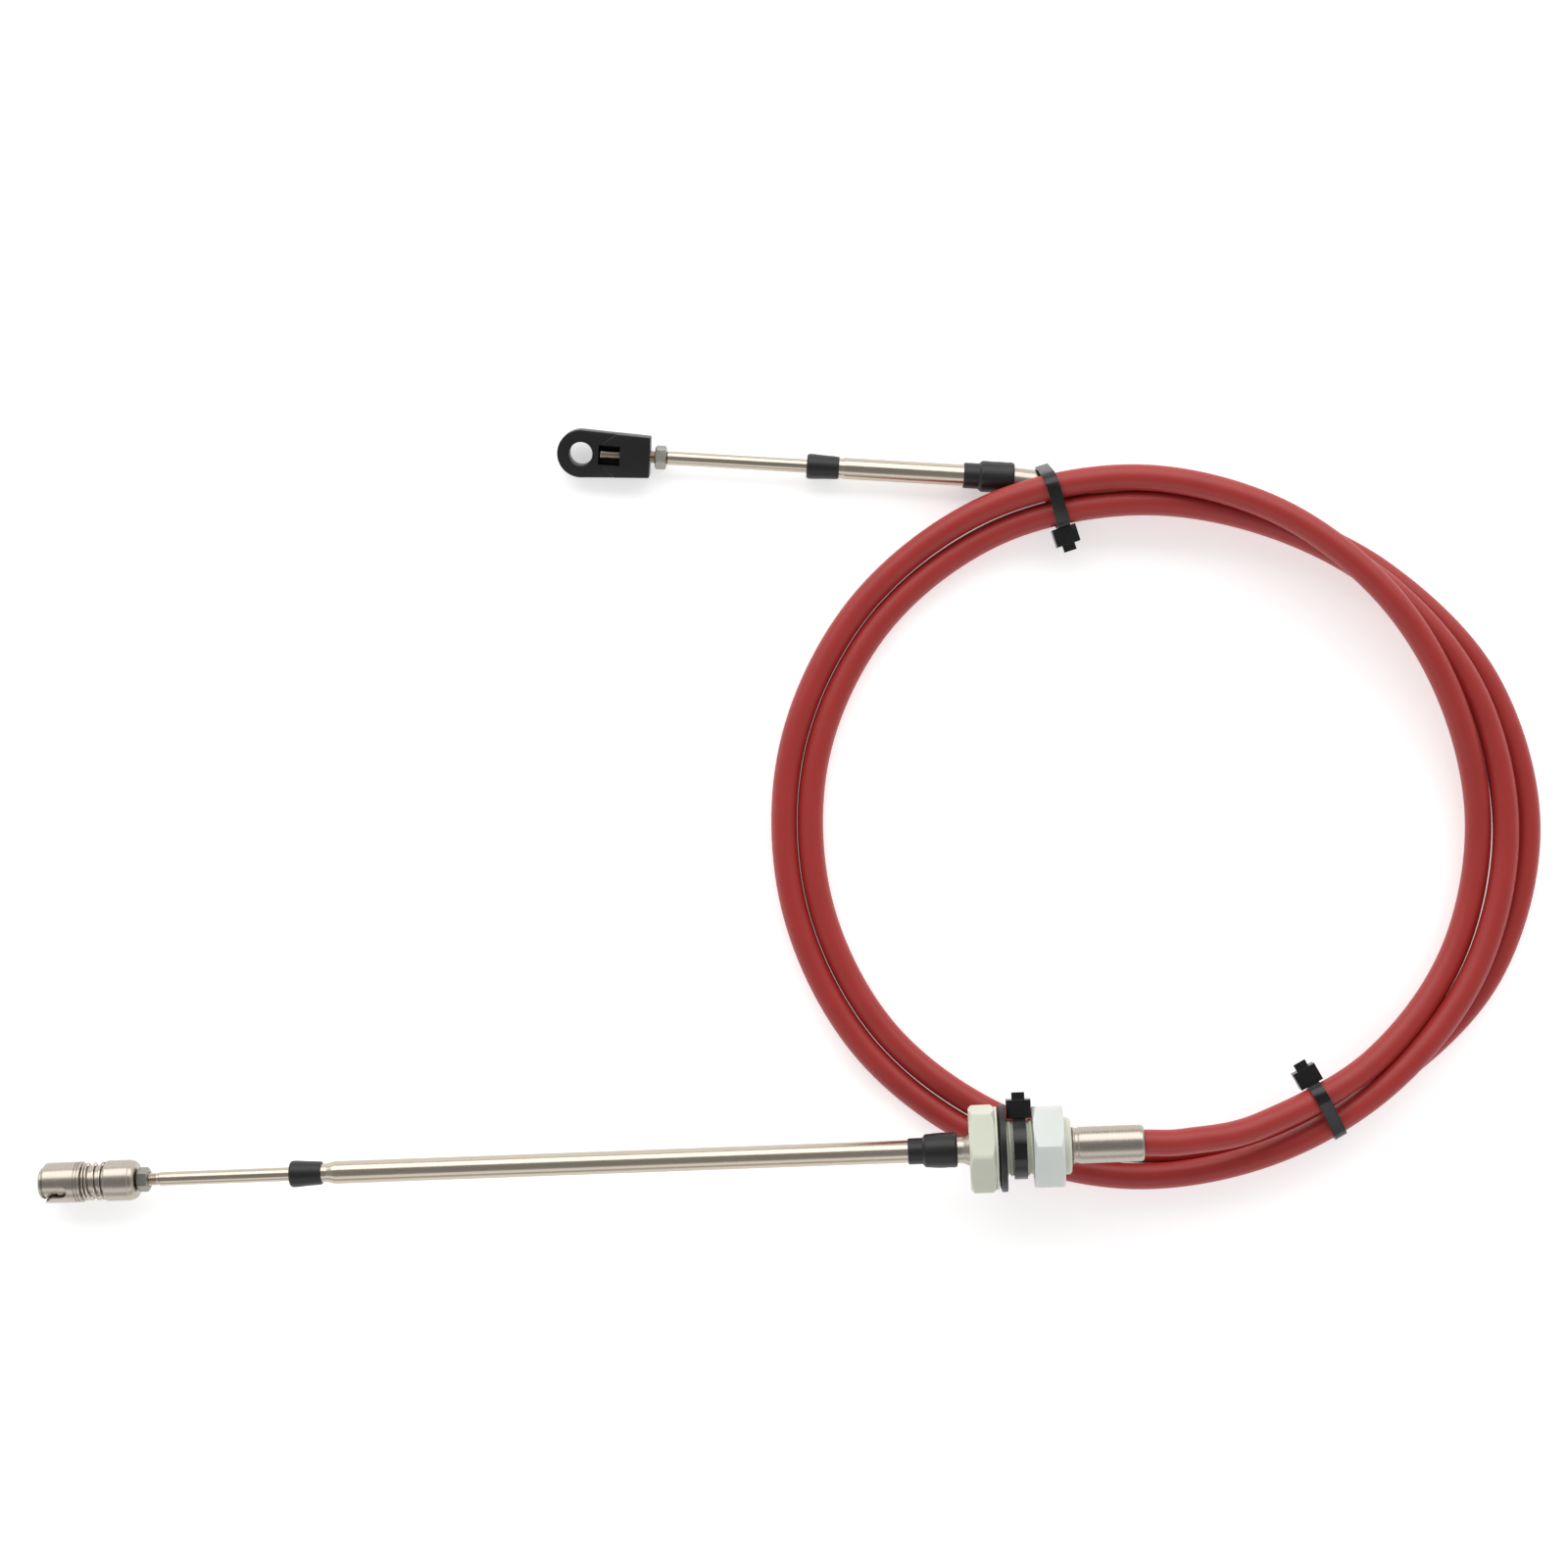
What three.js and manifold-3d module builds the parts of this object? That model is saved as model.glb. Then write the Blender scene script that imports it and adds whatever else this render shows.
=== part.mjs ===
// A push-pull trim cable, coiled flat and tied, in millimetres with +Z up.
// The coil lies on the floor plane z = 0. Its lower end carries a bulkhead fitting, a guide tube
// and a quick-release coupler; its upper end carries a guide tube and a plastic rod eye.
import * as THREE from 'three';
import { mergeVertices } from 'three/addons/utils/BufferGeometryUtils.js';
import Module from 'manifold-3d';

const wasm = await Module();
wasm.setup();

// Clearances
const GAP = 0.3;
const SNUG = 0.15;
// How far a cutter runs past the face that it opens
const OVERSHOOT = 1;
// Facets of round pieces: usual, large and slender ones
const SEGMENTS = 24;
const WIDE_SEGMENTS = 32;
const SLIM_SEGMENTS = 16;

// The coil: its centre in plan, and the jacket
const COIL_CENTRE = [176.1, -4.5];
const JACKET_RADIUS = 4.75;
const JACKET_SIDES = 12;
const JACKET_DEPTH = 16;
const FERRULE_LEAD = 16;
const STATION_STEP = 24;
const FIRST_STATION = 288;
// Radius from the coil's centre and height of the jacket's axis, one station every 24 degrees
const COIL_STATIONS = [
  [115.6, 26.6], [117.8, 16.8], [120.0, 9.8], [119.8, 9.4], [117.8, 18.4], [119.5, 25.8],
  [124.9, 25.4], [131.1, 20.2], [136.6, 11.6], [140.2, 5.8], [141.6, 4.9], [140.9, 4.9],
  [139.0, 5.1], [135.1, 5.87], [132.0, 9.2],
  [128.3, 15.2], [127.6, 15.9], [129.2, 13.8], [129.7, 11.4], [127.4, 13.8], [122.9, 16.0],
  [120.2, 16.2], [122.0, 16.1], [126.8, 8.0], [130.3, 5.0], [131.7, 4.9], [131.0, 4.9],
  [129.0, 5.2], [124.9, 6.25], [122.2, 6.2],
  [123.4, 6.1], [128.4, 6.0], [136.9, 5.4], [139.5, 4.9], [135.7, 5.2], [127.8, 6.0], [124.1, 6.3],
];

// Lower end: where its ferrule's mouth is from the coil's centre, and how its axis lies
const LOWER_MOUTH = [-8.8, -116.0, 31.2];
const LOWER_YAW = 2.52;
const LOWER_RISE = 3.12;
// Upper end: the same, and the small bend at its swivel
const UPPER_MOUTH = [-11.9, 125.9, 6.3];
const UPPER_HUB_YAW = -6.98;
const UPPER_ROD_YAW = -3.36;

// Swivel ball and the cup that turns on it
const BALL_RADIUS = 3.4;
const BALL_STEM_RADIUS = 2.0;
const CUP_WALL = 1.2;
const CUP_LIP = 2.4;
const CUP_FLARE = 0.6;
const HUB_SHOULDER = 3.5;

// Rods, with a stud for an M5 thread at their outer ends
const ROD_RADIUS = 2.6;
const THREAD_RADIUS = 2.4;
const ROD_CLEARANCE = 0.35;
const ROD_HIDDEN = 35;
const ROD_CHAMFER = 0.4;
const NOSE_LENGTH = 6;
const WIPER_LIP = 2;
const WIPER_EDGE = 0.6;
const JAM_FLATS = 8;
const JAM_LENGTH = 4.2;
const JAM_CHAMFER = 0.45;
// Slopes inside and outside the rubber boots
const BOOT_SLOPE = 0.6;
const BOOT_ROOM_SLOPE = 0.8;
const BOOT_SHOULDER = 0.2;

// Each end's own sizes, measured outwards from its swivel ball
const LOWER = {
  tubeRadius: 4.25, tubeReach: 226.2, neckRadius: 3.49, coneLength: 2.6, grooveLength: 2.2,
  wiperLength: 11.9, wiperOuter: 4.96, wiperInner: 4.4,
  exposedRod: 53.7, studLength: 17.3, plainStart: 3.9,
  hubNeckRadius: 4.98, bootSmall: 4.85, bootLeft: 6.12, bootRight: 6.52,
  bootReach: 11.7, bootStep: 6.1, bootEnd: 6.5, bootRoom: 0, nutTurn: 25,
};
const UPPER = {
  tubeRadius: 4.07, tubeReach: 57.3, neckRadius: 3.77, coneLength: 1.2, grooveLength: 1.0,
  wiperLength: 12.2, wiperOuter: 4.72, wiperInner: 4.18,
  exposedRod: 53.0, studLength: 25.3, plainStart: 0.1,
  hubNeckRadius: 4.44, bootSmall: 4.8, bootLeft: 5.85, bootRight: 5.92,
  bootReach: 12.5, bootStep: 6.5, bootEnd: 6.5, bootRoom: 0.45, nutTurn: 26,
};

// Lower hub: neck, flare that holds the bulkhead fitting, shank and ferrule
const FLARE_START = 9.5;
const FLARE_LENGTH = 2.6;
const FLARE_RADIUS = 6.65;
const FLARE_SEAT = 2.4;
const SHANK_RADIUS = 5.0;
const LOWER_FERRULE_RADIUS = 6.78;
const LOWER_FERRULE_LENGTH = 26.5;
const FERRULE_GROOVE = 0.3;
const FERRULE_GROOVE_AT = 0.9;
const FERRULE_GROOVE_WIDTH = 1.1;
const FERRULE_BORE_DEPTH = 20;
// Upper hub: neck and a thinner ferrule
const UPPER_NECK_LENGTH = 24.4;
const UPPER_FERRULE_CONE = 2.2;
const UPPER_FERRULE_RADIUS = 5.55;
const UPPER_FERRULE_LENGTH = 23.1;

// Nylon bulkhead fitting: hexagon head, flange, threaded barrel, washer and nut
const FITTING_START = 11.0;
const HEX_FLATS = 29.7;
const HEAD_LENGTH = 9.2;
const FLANGE_RADIUS = 15.3;
const FLANGE_LENGTH = 1.3;
const BARREL_RADIUS = 10.5;
const BARREL_LENGTH = 26.9;
const BARREL_PITCH = 2.0;
const BARREL_THREAD_DEPTH = 0.9;
const BARREL_END = 3.0;
const BARREL_CHAMFER = 0.8;
const HEX_CHAMFER = 1.2;
// The corners of every nut are turned off at this angle to its faces
const HEX_CHAMFER_ANGLE = 30;
const WASHER_RADIUS = 16.15;
const WASHER_THICKNESS = 2.3;
const WASHER_CUP = 0.7;
const WASHER_FACE_RADIUS = 14.3;
const NUT_LENGTH = 11.2;
const NUT_FROM_WASHER = 9.7;
const HEAD_TURN = 4;
const NUT_TURN = -7;

// Quick-release coupler: barrel with a rear collar, sprung sleeve and spring
const COUPLER_LENGTH = 36.7;
const COLLAR_RADIUS = 7.6;
const COLLAR_LENGTH = 11.6;
const COLLAR_CHAMFER = 0.9;
const COLLAR_STEP_CHAMFER = 0.3;
const COUPLER_RADIUS = 5.9;
const COUPLER_CHAMFER = 0.6;
const WAIST_RADIUS = 5.5;
const END_RING_LENGTH = 1.6;
const WAIST_LENGTH = 5.7;
const SOCKET_RADIUS = 4.1;
const SOCKET_DEPTH = 12;
const STUD_END_ROOM = 1;
const SLEEVE_RADIUS = 7.57;
const SLEEVE_LENGTH = 14.4;
const SLEEVE_LIP = 1.1;
const SLEEVE_CHAMFER = 0.35;
const SLEEVE_GROOVE = 0.3;
const SLEEVE_GROOVES_AT = [1.2, 2.3];
const SLEEVE_GROOVE_WIDTH = 0.5;
const SLOT_TURN = 22;
const SLOT_WIDTH = 5.4;
const SLOT_MOUTH = 10.7;
const SLOT_MOUTH_DEPTH = 3.4;
const SLOT_LENGTH = 9.4;
const SPRING_WIRE = 0.39;
const SPRING_RADIUS = 6.75;
const SPRING_TURNS = 4;
const SPRING_STEPS = 16;
const SPRING_COIL_GAP = 0.08;

// Plastic eye on the upper rod
const EYE_RADIUS = 8.95;
const EYE_HOLE_RADIUS = 4.38;
const EYE_LENGTH = 35.0;
const EYE_END_WIDTH = 15.2;
const EYE_THICKNESS = 7;
const EYE_BLOCK_THICKNESS = 9;
const EYE_BLOCK_LENGTH = 17.9;
const EYE_BLOCK_SLANT = 5;
const EYE_BLOCK_NOSE = 9.4;
const EYE_BLOCK_INSET = 0.05;
const EYE_ROLL = 13;
const POCKET_LENGTH = 8.1;
const POCKET_WIDTH = 7.4;
const POCKET_FROM_END = 11.3;
const POCKET_FLOOR = 1.2;
const EYE_TO_NUT = 1.9;

// Cable ties
const STRAP_WIDTH = 4.8;
const STRAP_THICKNESS = 1.0;
const STRAP_GAP = 0.25;
const TIE_HEAD = { across: 9.1, out: 6.0, tall: 5.2 };
const TIE_TAIL = 2.6;
const TIE_HEAD_OVERLAP = 0.3;
const TIE_TOP_ANGLE = 108;
const TIE_BOTTOM_ANGLE = 300;
// Heights of the tie heads: over the floor for the first two, over the lower axis for the last
const TIE_TOP_HEAD = 11;
const TIE_BOTTOM_HEAD = 19;
const TIE_FITTING_HEAD = 1;
// How far from a tie's plane origin a turn of the jacket may be and still be bound
const TIE_REACH = 30;

const Z = new THREE.Vector3(0, 0, 1);
const radians = THREE.MathUtils.degToRad;
const FULL = 2 * Math.PI;

function material(color, roughness, metalness) {
  return new THREE.MeshStandardMaterial({ color, roughness, metalness });
}

// Merges shared corners and drops the empty triangles at a turned shape's poles
function weld(geometry) {
  geometry.deleteAttribute('normal');
  geometry.deleteAttribute('uv');
  const merged = mergeVertices(geometry, 1e-4);
  const kept = [];
  const index = merged.index.array;
  for (let i = 0; i < index.length; i += 3) {
    const [a, b, c] = [index[i], index[i + 1], index[i + 2]];
    if (a !== b && b !== c && c !== a) kept.push(a, b, c);
  }
  merged.setIndex(kept);
  return merged;
}

function volume(geometry) {
  const at = geometry.attributes.position;
  const [a, b, c] = [new THREE.Vector3(), new THREE.Vector3(), new THREE.Vector3()];
  let sum = 0;
  for (let i = 0; i < geometry.index.count; i += 3) {
    a.fromBufferAttribute(at, geometry.index.getX(i));
    b.fromBufferAttribute(at, geometry.index.getX(i + 1));
    c.fromBufferAttribute(at, geometry.index.getX(i + 2));
    sum += a.dot(b.cross(c)) / 6;
  }
  return sum;
}

// A welded copy whose faces point out
function closed(geometry) {
  const welded = weld(geometry);
  if (volume(welded) < 0) welded.setIndex(Array.from(welded.index.array).reverse());
  return welded;
}

// A profile of [x, radius] points turned round the X axis
function turned(profile, segments = SEGMENTS) {
  const points = profile.map(([x, radius]) => new THREE.Vector2(radius, x));
  const shape = new THREE.LatheGeometry(points, segments);
  shape.rotateZ(-Math.PI / 2);
  return closed(shape);
}

// The same with a bore: the outside is given, and the inside closes it
function tubular(outside, inside, segments = SEGMENTS) {
  return turned([...outside, ...inside.slice().reverse(), outside[0]], segments);
}

function solid(geometry) {
  const mesh = new wasm.Mesh({
    numProp: 3,
    vertProperties: new Float32Array(geometry.attributes.position.array),
    triVerts: new Uint32Array(geometry.index.array),
  });
  return new wasm.Manifold(mesh);
}

function geometryOf(body) {
  const mesh = body.getMesh();
  const geometry = new THREE.BufferGeometry();
  geometry.setAttribute('position', new THREE.BufferAttribute(new Float32Array(mesh.vertProperties), 3));
  geometry.setIndex(Array.from(mesh.triVerts));
  return geometry;
}

function cut(geometry, ...tools) {
  return geometryOf(tools.reduce((body, tool) => body.subtract(solid(tool)), solid(geometry)));
}

function join(geometry, ...others) {
  return geometryOf(others.reduce((body, other) => body.add(solid(other)), solid(geometry)));
}

function rod(from, to, radius, segments = SEGMENTS) {
  return turned([[from, 0], [from, radius], [to, radius], [to, 0]], segments);
}

function box(from, to) {
  const size = to.map((value, i) => value - from[i]);
  const shape = new THREE.BoxGeometry(...size);
  shape.translate(...from.map((value, i) => value + size[i] / 2));
  return closed(shape);
}

// Ridges and roots of a thread from one x to another, as profile points
function threadProfile(from, to, radius, depth, pitch) {
  const count = Math.max(1, Math.floor((to - from) / pitch));
  const step = (to - from) / count;
  const points = [];
  for (let i = 0; i < count; i += 1) {
    points.push([from + i * step, radius - depth], [from + (i + 0.5) * step, radius]);
  }
  points.push([to, radius - depth]);
  return points;
}

// A hexagon prism along X, its corners turned off at both ends. At turn 0 a corner is on top.
function hexagon(from, to, flats, chamfer, turn) {
  const corner = flats / Math.sqrt(3);
  const prism = new THREE.CylinderGeometry(corner, corner, to - from, 6);
  prism.rotateZ(-Math.PI / 2);
  prism.rotateX(radians(turn));
  prism.translate((from + to) / 2, 0, 0);
  const rim = corner - chamfer / Math.tan(radians(HEX_CHAMFER_ANGLE));
  const crown = turned([[from, 0], [from, rim], [from + chamfer, corner + GAP],
    [to - chamfer, corner + GAP], [to, rim], [to, 0]], WIDE_SEGMENTS);
  return geometryOf(solid(closed(prism)).intersect(solid(crown)));
}

const object = new THREE.Group();
const coil = new THREE.Group();
coil.position.set(...COIL_CENTRE, 0);
object.add(coil);

function mesh(name, geometry, finish, parent) {
  const piece = new THREE.Mesh(geometry, finish.clone());
  piece.name = name;
  parent.add(piece);
  return piece;
}

const RED = material('#a03030', 0.42, 0);
const STEEL = material('#b8ada0', 0.28, 1);
const ZINC = material('#a9a6a0', 0.4, 1);
const NYLON = material('#cfd2c8', 0.45, 0);
const BLACK_RUBBER = material('#232326', 0.6, 0);
const BLACK_NYLON = material('#1e1e20', 0.45, 0);

// Direction of an axis that is yawed about Z and rises along its own +X
function axisDirection(yaw, rise = 0) {
  return new THREE.Vector3(
    Math.cos(radians(rise)) * Math.cos(radians(yaw)),
    Math.cos(radians(rise)) * Math.sin(radians(yaw)),
    Math.sin(radians(rise)),
  );
}

// The jacket's ring centres are spaced evenly by station, so neighbouring turns' rings line up
class StationCurve extends THREE.CatmullRomCurve3 {
  getPointAt(u, target) {
    return this.getPoint(u, target);
  }

  getTangentAt(u, target) {
    return this.getTangent(u, target);
  }
}

const lowerMouth = new THREE.Vector3(...LOWER_MOUTH);
const upperMouth = new THREE.Vector3(...UPPER_MOUTH);
const lowerAxis = axisDirection(LOWER_YAW, LOWER_RISE);
const upperHubAxis = axisDirection(UPPER_HUB_YAW);

function coilPoint(index) {
  const [radius, height] = COIL_STATIONS[index];
  const angle = radians(FIRST_STATION + STATION_STEP * index);
  return new THREE.Vector3(radius * Math.cos(angle), radius * Math.sin(angle), height);
}

function along(point, axis, distance) {
  return point.clone().addScaledVector(axis, distance);
}

function jacketRoute() {
  const points = [-JACKET_DEPTH, 0, FERRULE_LEAD].map((s) => along(lowerMouth, lowerAxis, s));
  for (let i = 0; i < COIL_STATIONS.length; i += 1) points.push(coilPoint(i));
  [FERRULE_LEAD, 0, -JACKET_DEPTH].forEach((s) => points.push(along(upperMouth, upperHubAxis, s)));
  return points;
}

const route = jacketRoute();
const jacketCurve = new StationCurve(route, false, 'catmullrom', 0.5);
const jacketSteps = 2 * (route.length - 1);

function roundSection(radius, sides) {
  const corners = Array.from({ length: sides }, (_, i) => {
    const angle = (FULL * i) / sides;
    return new THREE.Vector2(radius * Math.cos(angle), radius * Math.sin(angle));
  });
  return new THREE.Shape(corners);
}

function jacket() {
  const section = roundSection(JACKET_RADIUS, JACKET_SIDES);
  return closed(new THREE.ExtrudeGeometry(section, { steps: jacketSteps, extrudePath: jacketCurve }));
}

mesh('cable_jacket', jacket(), RED, coil);

// A group whose +X is an end's axis, with its origin at the swivel ball
function endGroup(mouth, axis, toBall, yaw, rise = 0) {
  const group = new THREE.Group();
  group.position.copy(along(mouth, axis, -toBall));
  group.rotation.set(0, -radians(rise), radians(yaw), 'ZYX');
  coil.add(group);
  return group;
}

const fittingEnd = FITTING_START + HEAD_LENGTH + FLANGE_LENGTH + BARREL_LENGTH;
const lowerFerruleStart = fittingEnd + GAP;
const lowerToMouth = lowerFerruleStart + LOWER_FERRULE_LENGTH;
const upperFerruleStart = UPPER_NECK_LENGTH + UPPER_FERRULE_CONE;
const upperToMouth = upperFerruleStart + UPPER_FERRULE_LENGTH;

const lower = endGroup(lowerMouth, lowerAxis, lowerToMouth, LOWER_YAW, LOWER_RISE);
const upperFixed = endGroup(upperMouth, upperHubAxis, upperToMouth, UPPER_HUB_YAW);
const upper = new THREE.Group();
upper.position.copy(upperFixed.position);
upper.rotation.z = radians(UPPER_ROD_YAW);
coil.add(upper);

// Points of an arc about the origin, from one x to another, bulging away from the axis
function ballArc(radius, fromX, toX, steps) {
  const points = [];
  const start = Math.acos(fromX / radius);
  const end = Math.acos(toX / radius);
  for (let i = 0; i <= steps; i += 1) {
    const angle = start + ((end - start) * i) / steps;
    points.push([radius * Math.cos(angle), radius * Math.sin(angle)]);
  }
  return points;
}

function ballAndStem() {
  const stemX = Math.sqrt(BALL_RADIUS ** 2 - BALL_STEM_RADIUS ** 2);
  return [[-BALL_RADIUS, 0], ...ballArc(BALL_RADIUS, -BALL_RADIUS * 0.94, stemX, 7),
    [HUB_SHOULDER, BALL_STEM_RADIUS]];
}

function ferruleBore(mouthX) {
  return rod(mouthX - FERRULE_BORE_DEPTH, mouthX + OVERSHOOT, JACKET_RADIUS + GAP);
}

function lowerHub() {
  const grooveX = lowerFerruleStart + FERRULE_GROOVE_AT;
  const grooved = LOWER_FERRULE_RADIUS - FERRULE_GROOVE;
  const flareEnd = FLARE_START + FLARE_LENGTH;
  const body = turned([
    ...ballAndStem(), [HUB_SHOULDER, LOWER.hubNeckRadius], [FLARE_START, LOWER.hubNeckRadius],
    [flareEnd, FLARE_RADIUS], [flareEnd + FLARE_SEAT, FLARE_RADIUS],
    [flareEnd + FLARE_SEAT, SHANK_RADIUS], [lowerFerruleStart, SHANK_RADIUS],
    [lowerFerruleStart, LOWER_FERRULE_RADIUS], [grooveX, LOWER_FERRULE_RADIUS],
    [grooveX, grooved], [grooveX + FERRULE_GROOVE_WIDTH, grooved],
    [grooveX + FERRULE_GROOVE_WIDTH, LOWER_FERRULE_RADIUS],
    [lowerToMouth, LOWER_FERRULE_RADIUS], [lowerToMouth, 0],
  ]);
  return cut(body, ferruleBore(lowerToMouth));
}

function upperHub() {
  const body = turned([
    ...ballAndStem(), [HUB_SHOULDER, UPPER.hubNeckRadius], [UPPER_NECK_LENGTH, UPPER.hubNeckRadius],
    [upperFerruleStart, UPPER_FERRULE_RADIUS], [upperToMouth, UPPER_FERRULE_RADIUS],
    [upperToMouth, 0],
  ]);
  return cut(body, ferruleBore(upperToMouth));
}

// Rubber boot over the swivel: snug on the tube, clear of the cup, snug on the hub's neck
function boot(end) {
  const cupRoom = BALL_RADIUS + GAP + CUP_WALL + GAP;
  const neckBore = end.hubNeckRadius + SNUG + end.bootRoom;
  const outside = [[-end.bootReach, end.bootSmall], [-end.bootStep, end.bootSmall],
    [-end.bootStep + BOOT_SLOPE, end.bootLeft], [0, end.bootRight], [end.bootEnd, end.bootRight]];
  const inside = [[-end.bootReach, end.tubeRadius + SNUG], [-end.bootStep, end.tubeRadius + SNUG],
    [-end.bootStep + BOOT_ROOM_SLOPE, cupRoom], [HUB_SHOULDER - BOOT_SHOULDER, cupRoom],
    [HUB_SHOULDER + BOOT_SHOULDER, neckBore], [end.bootEnd, neckBore]];
  return tubular(outside, inside);
}

// Where an end's pieces lie along its axis, outwards from the ball at 0 to negative x
function layout(end) {
  const shoulder = -end.tubeReach;
  const neck = shoulder - end.coneLength;
  const wiperEnd = neck - end.grooveLength;
  const wiperStart = wiperEnd - end.wiperLength;
  const nutEnd = wiperStart - end.exposedRod;
  return { shoulder, neck, wiperEnd, wiperStart, nutEnd, nutStart: nutEnd - JAM_LENGTH };
}

const tubeBore = ROD_RADIUS + ROD_CLEARANCE;

// Guide tube: a nose inside the wiper, a waist, the tube and the cup on the ball
function guideTube(end) {
  const at = layout(end);
  const cupInner = BALL_RADIUS + GAP;
  const cupOuter = cupInner + CUP_WALL;
  const noseX = at.wiperEnd - NOSE_LENGTH;
  const lipRadius = Math.sqrt(cupInner ** 2 - CUP_LIP ** 2);
  const boreX = -Math.sqrt(cupInner ** 2 - tubeBore ** 2);
  const outside = [[noseX, end.neckRadius], [at.neck, end.neckRadius], [at.shoulder, end.tubeRadius],
    [-cupOuter - CUP_FLARE, end.tubeRadius], [-cupInner, cupOuter], [CUP_LIP, cupOuter],
    [CUP_LIP, lipRadius]];
  const socket = ballArc(cupInner, boreX, CUP_LIP, 6).slice(1, -1);
  const inside = [[noseX, tubeBore], [boreX, tubeBore], ...socket];
  return tubular(outside, inside);
}

function wiper(end) {
  const at = layout(end);
  const seat = at.wiperEnd - NOSE_LENGTH - GAP;
  const outside = [[at.wiperStart, end.wiperOuter - WIPER_EDGE], [at.wiperStart + WIPER_EDGE, end.wiperOuter],
    [at.wiperStart + WIPER_LIP, end.wiperOuter], [at.wiperEnd, end.wiperInner]];
  const inside = [[at.wiperStart, ROD_RADIUS + GAP], [seat, ROD_RADIUS + GAP],
    [seat, end.neckRadius + SNUG], [at.wiperEnd, end.neckRadius + SNUG]];
  return tubular(outside, inside);
}

// Rod with its stud, the thread's plain outer size, and its inner end inside the tube
function pushRod(end) {
  const at = layout(end);
  const studStart = at.nutEnd + end.plainStart - end.studLength;
  const plain = at.nutEnd + end.plainStart;
  const inner = at.wiperEnd + ROD_HIDDEN;
  return turned([
    [studStart, 0], [studStart, THREAD_RADIUS - ROD_CHAMFER],
    [studStart + ROD_CHAMFER, THREAD_RADIUS],
    [plain, THREAD_RADIUS], [plain + ROD_CHAMFER, ROD_RADIUS],
    [inner - ROD_CHAMFER, ROD_RADIUS], [inner, ROD_RADIUS - ROD_CHAMFER], [inner, 0],
  ], SLIM_SEGMENTS);
}

function jamNut(end) {
  const at = layout(end);
  const nut = hexagon(at.nutStart, at.nutEnd, JAM_FLATS, JAM_CHAMFER, end.nutTurn);
  const from = at.nutStart - OVERSHOOT;
  return cut(nut, rod(from, at.nutEnd + OVERSHOOT, THREAD_RADIUS + GAP, SLIM_SEGMENTS));
}

function addEnd(prefix, end, moving) {
  mesh(`${prefix}_boot`, boot(end), BLACK_RUBBER, moving);
  mesh(`${prefix}_tube`, guideTube(end), STEEL, moving);
  mesh(`${prefix}_wiper`, wiper(end), BLACK_RUBBER, moving);
  mesh(`${prefix}_rod`, pushRod(end), STEEL, moving);
  mesh(`${prefix}_jam_nut`, jamNut(end), ZINC, moving);
}

mesh('lower_hub', lowerHub(), STEEL, lower);
mesh('upper_hub', upperHub(), STEEL, upperFixed);
addEnd('lower', LOWER, lower);
addEnd('upper', UPPER, upper);

// Bulkhead fitting
const headEnd = FITTING_START + HEAD_LENGTH;
const flangeEnd = headEnd + FLANGE_LENGTH;
const washerBack = flangeEnd + GAP + WASHER_THICKNESS + WASHER_CUP;

function bulkheadBody() {
  const threadEnd = fittingEnd - BARREL_END;
  const headMiddle = (FITTING_START + headEnd) / 2;
  const headTo = headEnd + FLANGE_LENGTH / 2;
  const head = hexagon(FITTING_START, headTo, HEX_FLATS, HEX_CHAMFER, HEAD_TURN);
  const barrel = turned([
    [headMiddle, 0], [headMiddle, BARREL_RADIUS], [headEnd, BARREL_RADIUS],
    [headEnd, FLANGE_RADIUS], [flangeEnd, FLANGE_RADIUS],
    ...threadProfile(flangeEnd, threadEnd, BARREL_RADIUS, BARREL_THREAD_DEPTH, BARREL_PITCH),
    [threadEnd, BARREL_RADIUS], [fittingEnd - BARREL_CHAMFER, BARREL_RADIUS],
    [fittingEnd, BARREL_RADIUS - BARREL_CHAMFER], [fittingEnd, 0],
  ]);
  const seatEnd = FLARE_START + FLARE_LENGTH + FLARE_SEAT + GAP;
  return cut(join(head, barrel), rod(FITTING_START - OVERSHOOT, seatEnd, FLARE_RADIUS + GAP),
    rod(seatEnd - OVERSHOOT, fittingEnd + OVERSHOOT, SHANK_RADIUS + GAP));
}

function bulkheadNut() {
  const start = washerBack + NUT_FROM_WASHER;
  const end = start + NUT_LENGTH;
  const nut = hexagon(start, end, HEX_FLATS, HEX_CHAMFER, NUT_TURN);
  const bore = rod(start - OVERSHOOT, end + OVERSHOOT, BARREL_RADIUS + GAP, WIDE_SEGMENTS);
  return cut(nut, bore);
}

function sealingWasher() {
  const start = flangeEnd + GAP;
  const bore = BARREL_RADIUS + GAP;
  const back = start + WASHER_THICKNESS;
  const outside = [[start, WASHER_FACE_RADIUS], [start + WASHER_CUP, WASHER_RADIUS],
    [back + WASHER_CUP, WASHER_RADIUS], [back, WASHER_FACE_RADIUS]];
  return turned([[start, bore], ...outside, [back, bore], [start, bore]], WIDE_SEGMENTS);
}

mesh('bulkhead_body', bulkheadBody(), NYLON, lower);
mesh('bulkhead_nut', bulkheadNut(), NYLON, lower);
mesh('sealing_washer', sealingWasher(), BLACK_RUBBER, lower);

// Quick-release coupler on the lower rod
const couplerEnd = layout(LOWER).nutStart - GAP;
const couplerStart = couplerEnd - COUPLER_LENGTH;
const collarStart = couplerEnd - COLLAR_LENGTH;
const sleeveStart = couplerStart + END_RING_LENGTH + GAP;
const sleeveEnd = sleeveStart + SLEEVE_LENGTH;

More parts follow.
